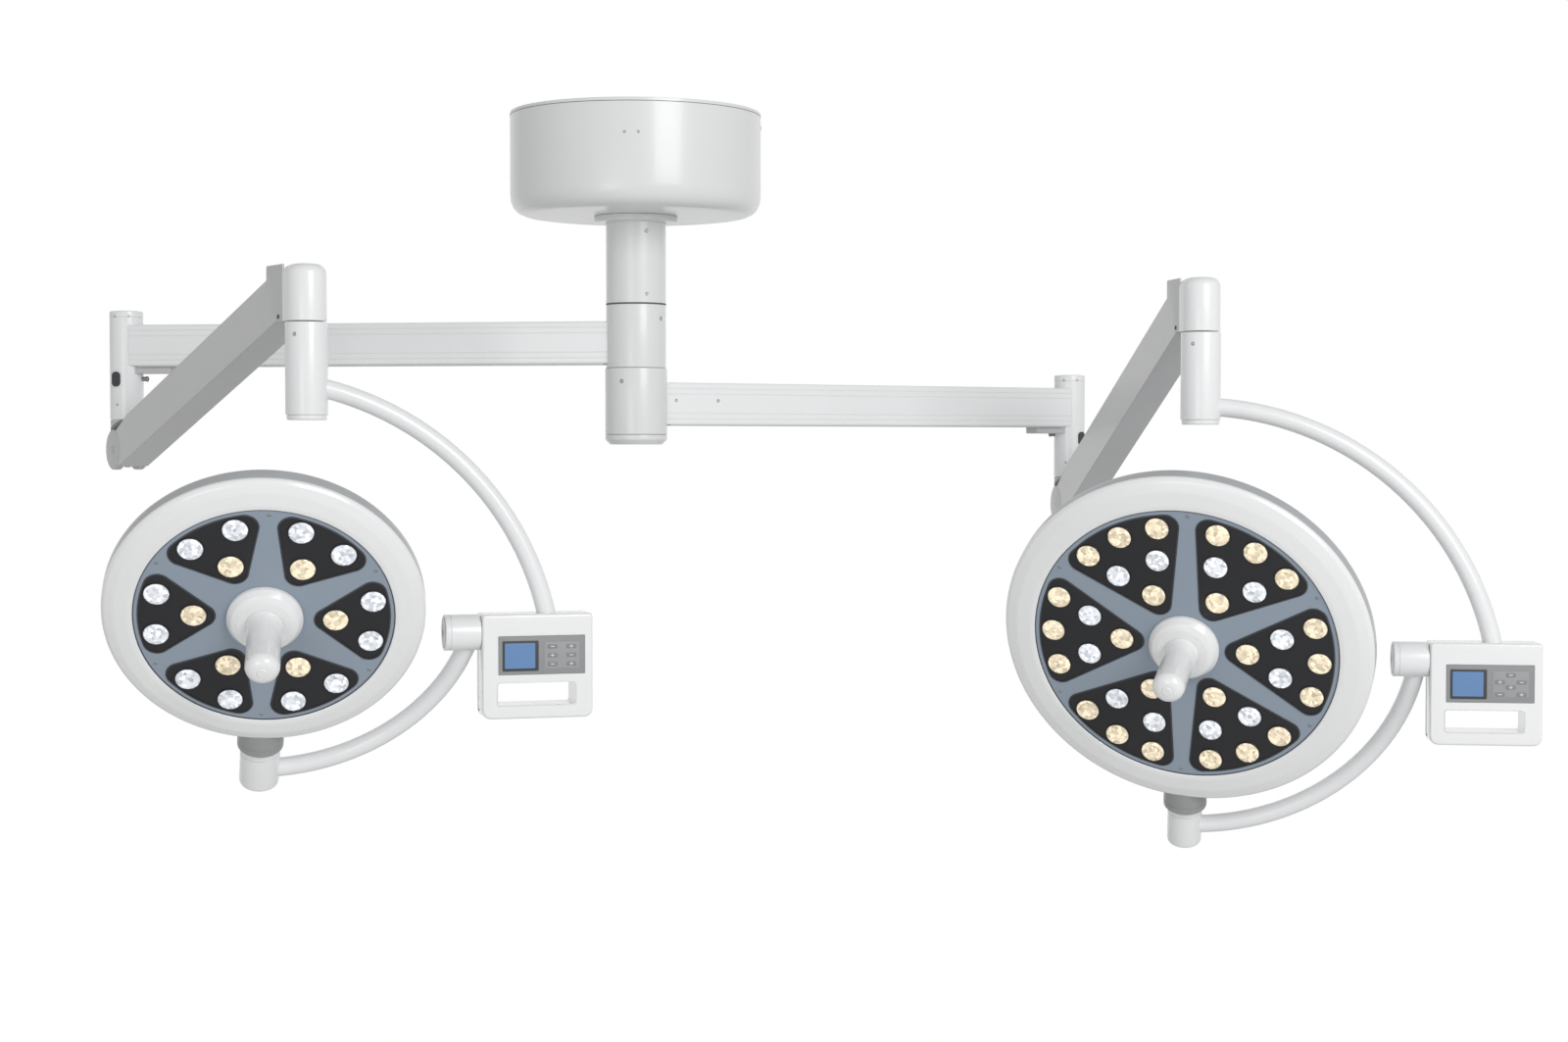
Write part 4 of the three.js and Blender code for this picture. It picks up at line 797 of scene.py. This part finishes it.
def tilt_pieces(unit):
    """The hinge barrel and its cap, the lower tube and the bearing block at its end."""
    name, body = unit["name"], unit["name"] + "_tilt"
    _, tilting, _ = yoke_frames(unit)
    along = under(tilting, (unit["box_left"] - BARREL_LENGTH, 0, 0), (0, 90, 0))
    wide, end = BARREL_RADIUS, BARREL_LENGTH - RUN
    barrel = lathe(name + "_hinge_barrel", [
        (0, 0.8), (wide - 3, 0.8), (wide - 2.5, 0), (wide, 0, 1.5), *groove(wide, 7.4, 0.5, 0.4),
        (wide, end, 0.8), (10, end),
    ], along, WHITE, 72)
    piece(barrel, body, "white_enamel", name + "_tilt_barrel")
    cap = lathe(name + "_barrel_cap", [
        (0, 0.2), (5, 0.2), (6, -0.4), (wide - 4, -0.4, 1), (wide - 3.4, 1),
    ], along, SHELL, 64)
    piece(cap, body, "shell_grey")
    circle = unit["lower"]
    start = -math.degrees(math.asin((circle[1] + 15) / circle[2]))
    stop = -angle_at_x(circle, unit["swivel_x"] + unit["joint"] - 8)
    lower = tube(name + "_lower_tube", circle, start, stop, tilting, TUBE_WHITE)
    piece(lower, body, "white_enamel", name + "_lower_arc")
    top = unit["head_up"] - unit["rim"] - GAP - RING_HEIGHT - RUN
    low, wide, seam, roof = top - JOINT_LENGTH, unit["joint"], top - 10, top - JOINT_BORE_DEPTH
    block = lathe(name + "_swivel_block", [
        (0, low), (wide, low, 5), (wide, seam - 1.2), (wide - 1.2, seam - 0.9), (wide - 1.2, seam - 0.3),
        (wide, seam), (wide, top, 0.8), (JOINT_BORE, top), (JOINT_BORE, roof), (0, roof),
    ], under(tilting, (unit["swivel_x"], 0, 0)), WHITE, 72)
    piece(block, body, "white_enamel", name + "_swivel_joint")


# ------------------------------------------------------------ lamp head


def module_outline(unit, inset_by=0.0, steps=8):
    """A sector between two spokes with rounded corners, centred on X."""
    near, far = unit["module"]
    half, corner, wedge = SPOKE_HALF + inset_by, MODULE_CORNER - inset_by, math.radians(SECTOR / 2)
    offset = half + corner
    reach = far - inset_by - corner
    turn = math.asin(offset / reach)
    spread = wedge - turn
    inner = max(near + inset_by + corner, offset / math.sin(wedge))
    fx, fy = reach * math.cos(spread), reach * math.sin(spread)
    edge, open_ = math.degrees(wedge) + 90, math.degrees(spread)
    return [
        *arc(inner, 0, corner, edge, 360 - edge, steps),
        *arc(fx, -fy, corner, -edge, -open_, steps),
        *arc(0, 0, far - inset_by, -open_, open_, 3 * steps)[1:-1],
        *arc(fx, fy, corner, open_, edge, steps),
    ]


def lens_shape(facets=14):
    """A faceted dome: rings of flat facets that catch the light."""
    vertices, faces = [], []
    for k, (radius, height) in enumerate(LENS_ROWS):
        for i in range(facets):
            a = 2 * math.pi * (i + 0.5 * (k % 2)) / facets
            vertices.append((radius * math.cos(a), radius * math.sin(a), height))
    for k in range(len(LENS_ROWS) - 1):
        for i in range(facets):
            j = (i + 1) % facets
            a, b, c, d = k * facets + i, k * facets + j, (k + 1) * facets + i, (k + 1) * facets + j
            faces += [[a, b, c], [b, d, c]] if k % 2 == 0 else [[a, b, d], [a, d, c]]
    vertices.append((0, 0, LENS_TIP))
    last = (len(LENS_ROWS) - 1) * facets
    faces += [[last + i, last + (i + 1) % facets, len(vertices) - 1] for i in range(facets)]
    return vertices, faces


def collar_piece(unit, head, body):
    """The grey ring at the head's edge, turned about the yoke's lower end."""
    top, low = RING_ENTRY - unit["rim"], -unit["rim"] - GAP - RING_HEIGHT
    collar = lathe(unit["name"] + "_swivel_ring", [
        (0, low), (RING_RADIUS, low, 1.2), *groove(RING_RADIUS, low + 9.5, 0.7, 0.5),
        (RING_RADIUS, top), (0, top),
    ], head, RING, 72)
    piece(collar, body, "joint_grey", unit["name"] + "_swivel_collar")


def shell_pieces(unit, face, body):
    """The back cover, the white rim, the blue-grey plate and the seal between them."""
    name, rim, inner = unit["name"], unit["rim"], unit["face"]
    back = lathe(name + "_back_cover", [
        (0, -52), (0.35 * rim, -51.2, 60), (0.7 * rim, -48, 60), (rim - 30, -36, 24), (rim - 14, -16, 24),
        (rim, 4, 14), (rim, RIM_REAR - GAP, 0.8), (rim - 3, RIM_REAR - GAP),
    ], face, SHELL, 160)
    piece(back, body, "shell_grey", name + "_back_shell")
    middle = (rim + inner) / 2 + 4
    bezel = lathe(name + "_rim", [
        (rim - 6, RIM_REAR), (rim, RIM_REAR, 0.8), (rim, RIM_REAR + 4, 5), (rim - 4, RIM_REAR + 8, 6),
        (middle, 34.5, 20), (inner + 7, RIM_FRONT, 5), (inner, RIM_FRONT, 2), (inner, 33), (inner + 7, 33),
    ], face, GLOSS, 160, True)
    piece(bezel, body, "white_gloss", name + "_rim_ring")
    low, edge = FACE_TOP - 3, inner - 0.3
    plate = lathe(name + "_face", [
        (FACE_BORE - 1, low), (FACE_BORE - 1, FACE_TOP), (inner - 1.2, FACE_TOP, 0.4),
        (edge, FACE_TOP - 0.8), (edge, low),
    ], face, FACE, 128)
    piece(plate, body, "face_blue", name + "_face_plate")
    seal = lathe(name + "_rim_seal", [
        (inner - 1.1, FACE_TOP + 0.3), (inner + 0.1, FACE_TOP + 0.9),
        (inner + 0.2, FACE_TOP - 1), (inner - 1.1, FACE_TOP - 1),
    ], face, DARK, 128, True)
    piece(seal, body, "module_black")


def module_pieces(unit, place, index, body):
    """One of the six black modules: its plate, its raised frame and its lenses."""
    name, number = unit["name"], index + 1
    plate = module_outline(unit, 1.6)
    pad = prism(f"{name}_module_{number}", plate, FACE_TOP - 3, FACE_TOP + 0.1, place, MODULE, 0.3)
    nodes = [] if index else [name + "_lens_carrier"]
    piece(pad, body, "module_black", *nodes)
    outer, opening = module_outline(unit), module_outline(unit, 2.0)
    lip = prism(f"{name}_module_frame_{number}", outer, FACE_TOP - 1, FACE_TOP + 0.8, place, FRAME, 0.6)
    carve(lip, prism(f"{name}_frame_tool_{number}", opening, FACE_TOP - 5, FACE_TOP + 5, place, FRAME))
    piece(lip, body, "module_black")
    lens_pieces(unit, place, index, body)


def lens_pieces(unit, place, index, body):
    """One module's lenses: a faceted dome and a dark seat ring each."""
    shape, facets = lens_shape()
    for k, (radius, angle, tint) in enumerate(unit["lenses"]):
        a, label = math.radians(angle), f"{index + 1}_{k + 1}"
        spot = place @ Matrix.Translation((radius * math.cos(a), radius * math.sin(a), FACE_TOP + 0.1))
        spot = spot @ Matrix.Rotation(0.7 * (3 * index + k), 4, "Z")
        glow = COOL if tint == "cool" else WARM
        lens = mesh_object(f"{unit['name']}_lens_{label}", shape, facets, spot, glow, 0)
        piece(lens, body, "module_black")
        seat = lathe(f"{unit['name']}_lens_seat_{label}", SEAT_PROFILE, spot, MODULE, 36)
        piece(seat, body, "module_black")


def handle_pieces(unit, face):
    """The boss in the middle of the face and the handle that pulls off it."""
    name, wide, top = unit["name"], BASE_RADIUS, FACE_TOP + BASE_PROUD
    foot = FACE_TOP + GAP
    boss = lathe(name + "_handle_boss", [
        (FACE_BORE, FACE_TOP - 3), (FACE_BORE, foot), (wide, foot, 0.5), (wide, FACE_TOP + 6, 4),
        (wide - 6, top - 3, 5), (wide - 14, top, 3), (HANDLE_ROOT + 2, top),
        (HANDLE_BORE, top), (HANDLE_BORE, top + 5), (0, top + 5),
    ], face, GLOSS, 96)
    piece(boss, name + "_head", "white_gloss", name + "_handle_base")
    bottom = top + GAP
    shoulder, end = bottom + HANDLE_LENGTH - HANDLE_ROUND, bottom + HANDLE_LENGTH
    swell = HANDLE_TIP + 0.4
    grip = lathe(name + "_handle", [
        (HANDLE_BORE, bottom), (HANDLE_ROOT, bottom, 1), (HANDLE_ROOT, bottom + 3, 1),
        (HANDLE_ROOT - 1, bottom + 9, 6), (HANDLE_TIP, bottom + 0.5 * HANDLE_LENGTH, 60), (swell, shoulder),
        *arc(swell - HANDLE_ROUND, shoulder, HANDLE_ROUND, 0, 90, 12), (0, end),
    ], face, GLOSS, 72)
    piece(grip, name + "_handle", "white_gloss", name + "_handle_grip")
    place = face @ Matrix.Translation((0, 0, end))
    piece(lathe(name + "_handle_button", BUTTON_PROFILE, place, GLOSS, 48), name + "_handle", "white_gloss")


def head_pieces(unit):
    name, body = unit["name"], unit["name"] + "_head"
    _, _, head = yoke_frames(unit)
    face = under(head, (0, 0, 0), (90, 0, 0))
    collar_piece(unit, head, body)
    shell_pieces(unit, face, body)
    for i in range(MODULES):
        module_pieces(unit, spun(face, SECTOR * i), i, body)
    for i in range(MODULES):
        place = spun(face, SECTOR * (i + 0.5)) @ Matrix.Translation((unit["face"] - 8, 0, FACE_TOP))
        screw(f"{name}_face_screw_{i + 1}", place, body, 2.4, 0.4)
    handle_pieces(unit, face)


# ------------------------------------------------------------ finishes of the kept CAD nodes


def finish_cad_nodes():
    looks = {
        "ceiling_plate": STEEL, "power_supply": STEEL, "column_spindle": STEEL,
        "rear_pin": STEEL, "front_pin": STEEL, "lift_spring": STEEL, "tie_rod": STEEL,
        "brake_screw": DARK, "spring_arm": ARM_PAINT,
    }
    for name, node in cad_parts.items():
        kind = name.replace("left_", "").replace("right_", "")
        node.data.materials.clear()
        node.data.materials.append(looks.get(kind, WHITE))


# ------------------------------------------------------------ studio


def area_light(name, place, target, size, power):
    data = bpy.data.lights.new(name, "AREA")
    data.size, data.energy = size, power
    made = bpy.data.objects.new(name, data)
    made.location = place
    made.rotation_euler = (Vector(target) - Vector(place)).to_track_quat("-Z", "Y").to_euler()
    bpy.context.scene.collection.objects.link(made)


def studio_world():
    """White behind the object, dimmer to the sides, above and below, so that edges read."""
    world = bpy.data.worlds.new("studio")
    world.use_nodes = True
    nodes, links = world.node_tree.nodes, world.node_tree.links

    def ramp(source, start, low, stop, high):
        node = nodes.new("ShaderNodeMapRange")
        node.interpolation_type = "SMOOTHSTEP"
        links.new(source, node.inputs["Value"])
        for key, value in (("From Min", start), ("From Max", stop), ("To Min", low), ("To Max", high)):
            node.inputs[key].default_value = value
        return node.outputs["Result"]

    def math_node(operation, *sources):
        node = nodes.new("ShaderNodeMath")
        node.operation = operation
        for i, source in enumerate(sources):
            links.new(source, node.inputs[i])
        return node.outputs[0]

    place = nodes.new("ShaderNodeTexCoord")
    split = nodes.new("ShaderNodeSeparateXYZ")
    links.new(place.outputs["Generated"], split.inputs[0])
    behind = ramp(split.outputs["Y"], 0.55, SIDE_LIGHT, 0.88, 1.0)
    height = ramp(math_node("ABSOLUTE", split.outputs["Z"]), 0.3, 1.0, 0.75, TOP_LIGHT)
    below = ramp(split.outputs["Z"], -0.75, LOW_LIGHT, -0.25, 1.0)
    strength = math_node("MULTIPLY", math_node("MULTIPLY", behind, height), below)
    background = nodes["Background"]
    links.new(strength, background.inputs["Strength"])
    background.inputs["Color"].default_value = (1, 1, 1, 1)
    return world


def studio():
    place = Matrix.Translation((0, 0, FLOOR_HEIGHT))
    lathe("floor", [(0, 0), (FLOOR_RADIUS, 0)], place, FLOOR, 128)
    bpy.context.scene.world = studio_world()
    area_light("key", *KEY_LIGHT)
    area_light("fill", *FILL_LIGHT)
    data = bpy.data.cameras.new("camera")
    data.lens, data.sensor_width = LENS_MM, SENSOR_MM
    camera = bpy.data.objects.new("camera", data)
    camera.location = CAMERA_PLACE
    camera.rotation_euler = (math.radians(90 - CAMERA_DOWN), 0, 0)
    bpy.context.scene.collection.objects.link(camera)
    bpy.context.scene.camera = camera
    bpy.context.scene.view_settings.view_transform = "Standard"


ceiling_pieces()
for unit in UNITS:
    arm_pieces(unit)
    spring_arm_pieces(unit)
    yoke_pieces(unit)
    tilt_pieces(unit)
    head_pieces(unit)
finish_cad_nodes()
studio()
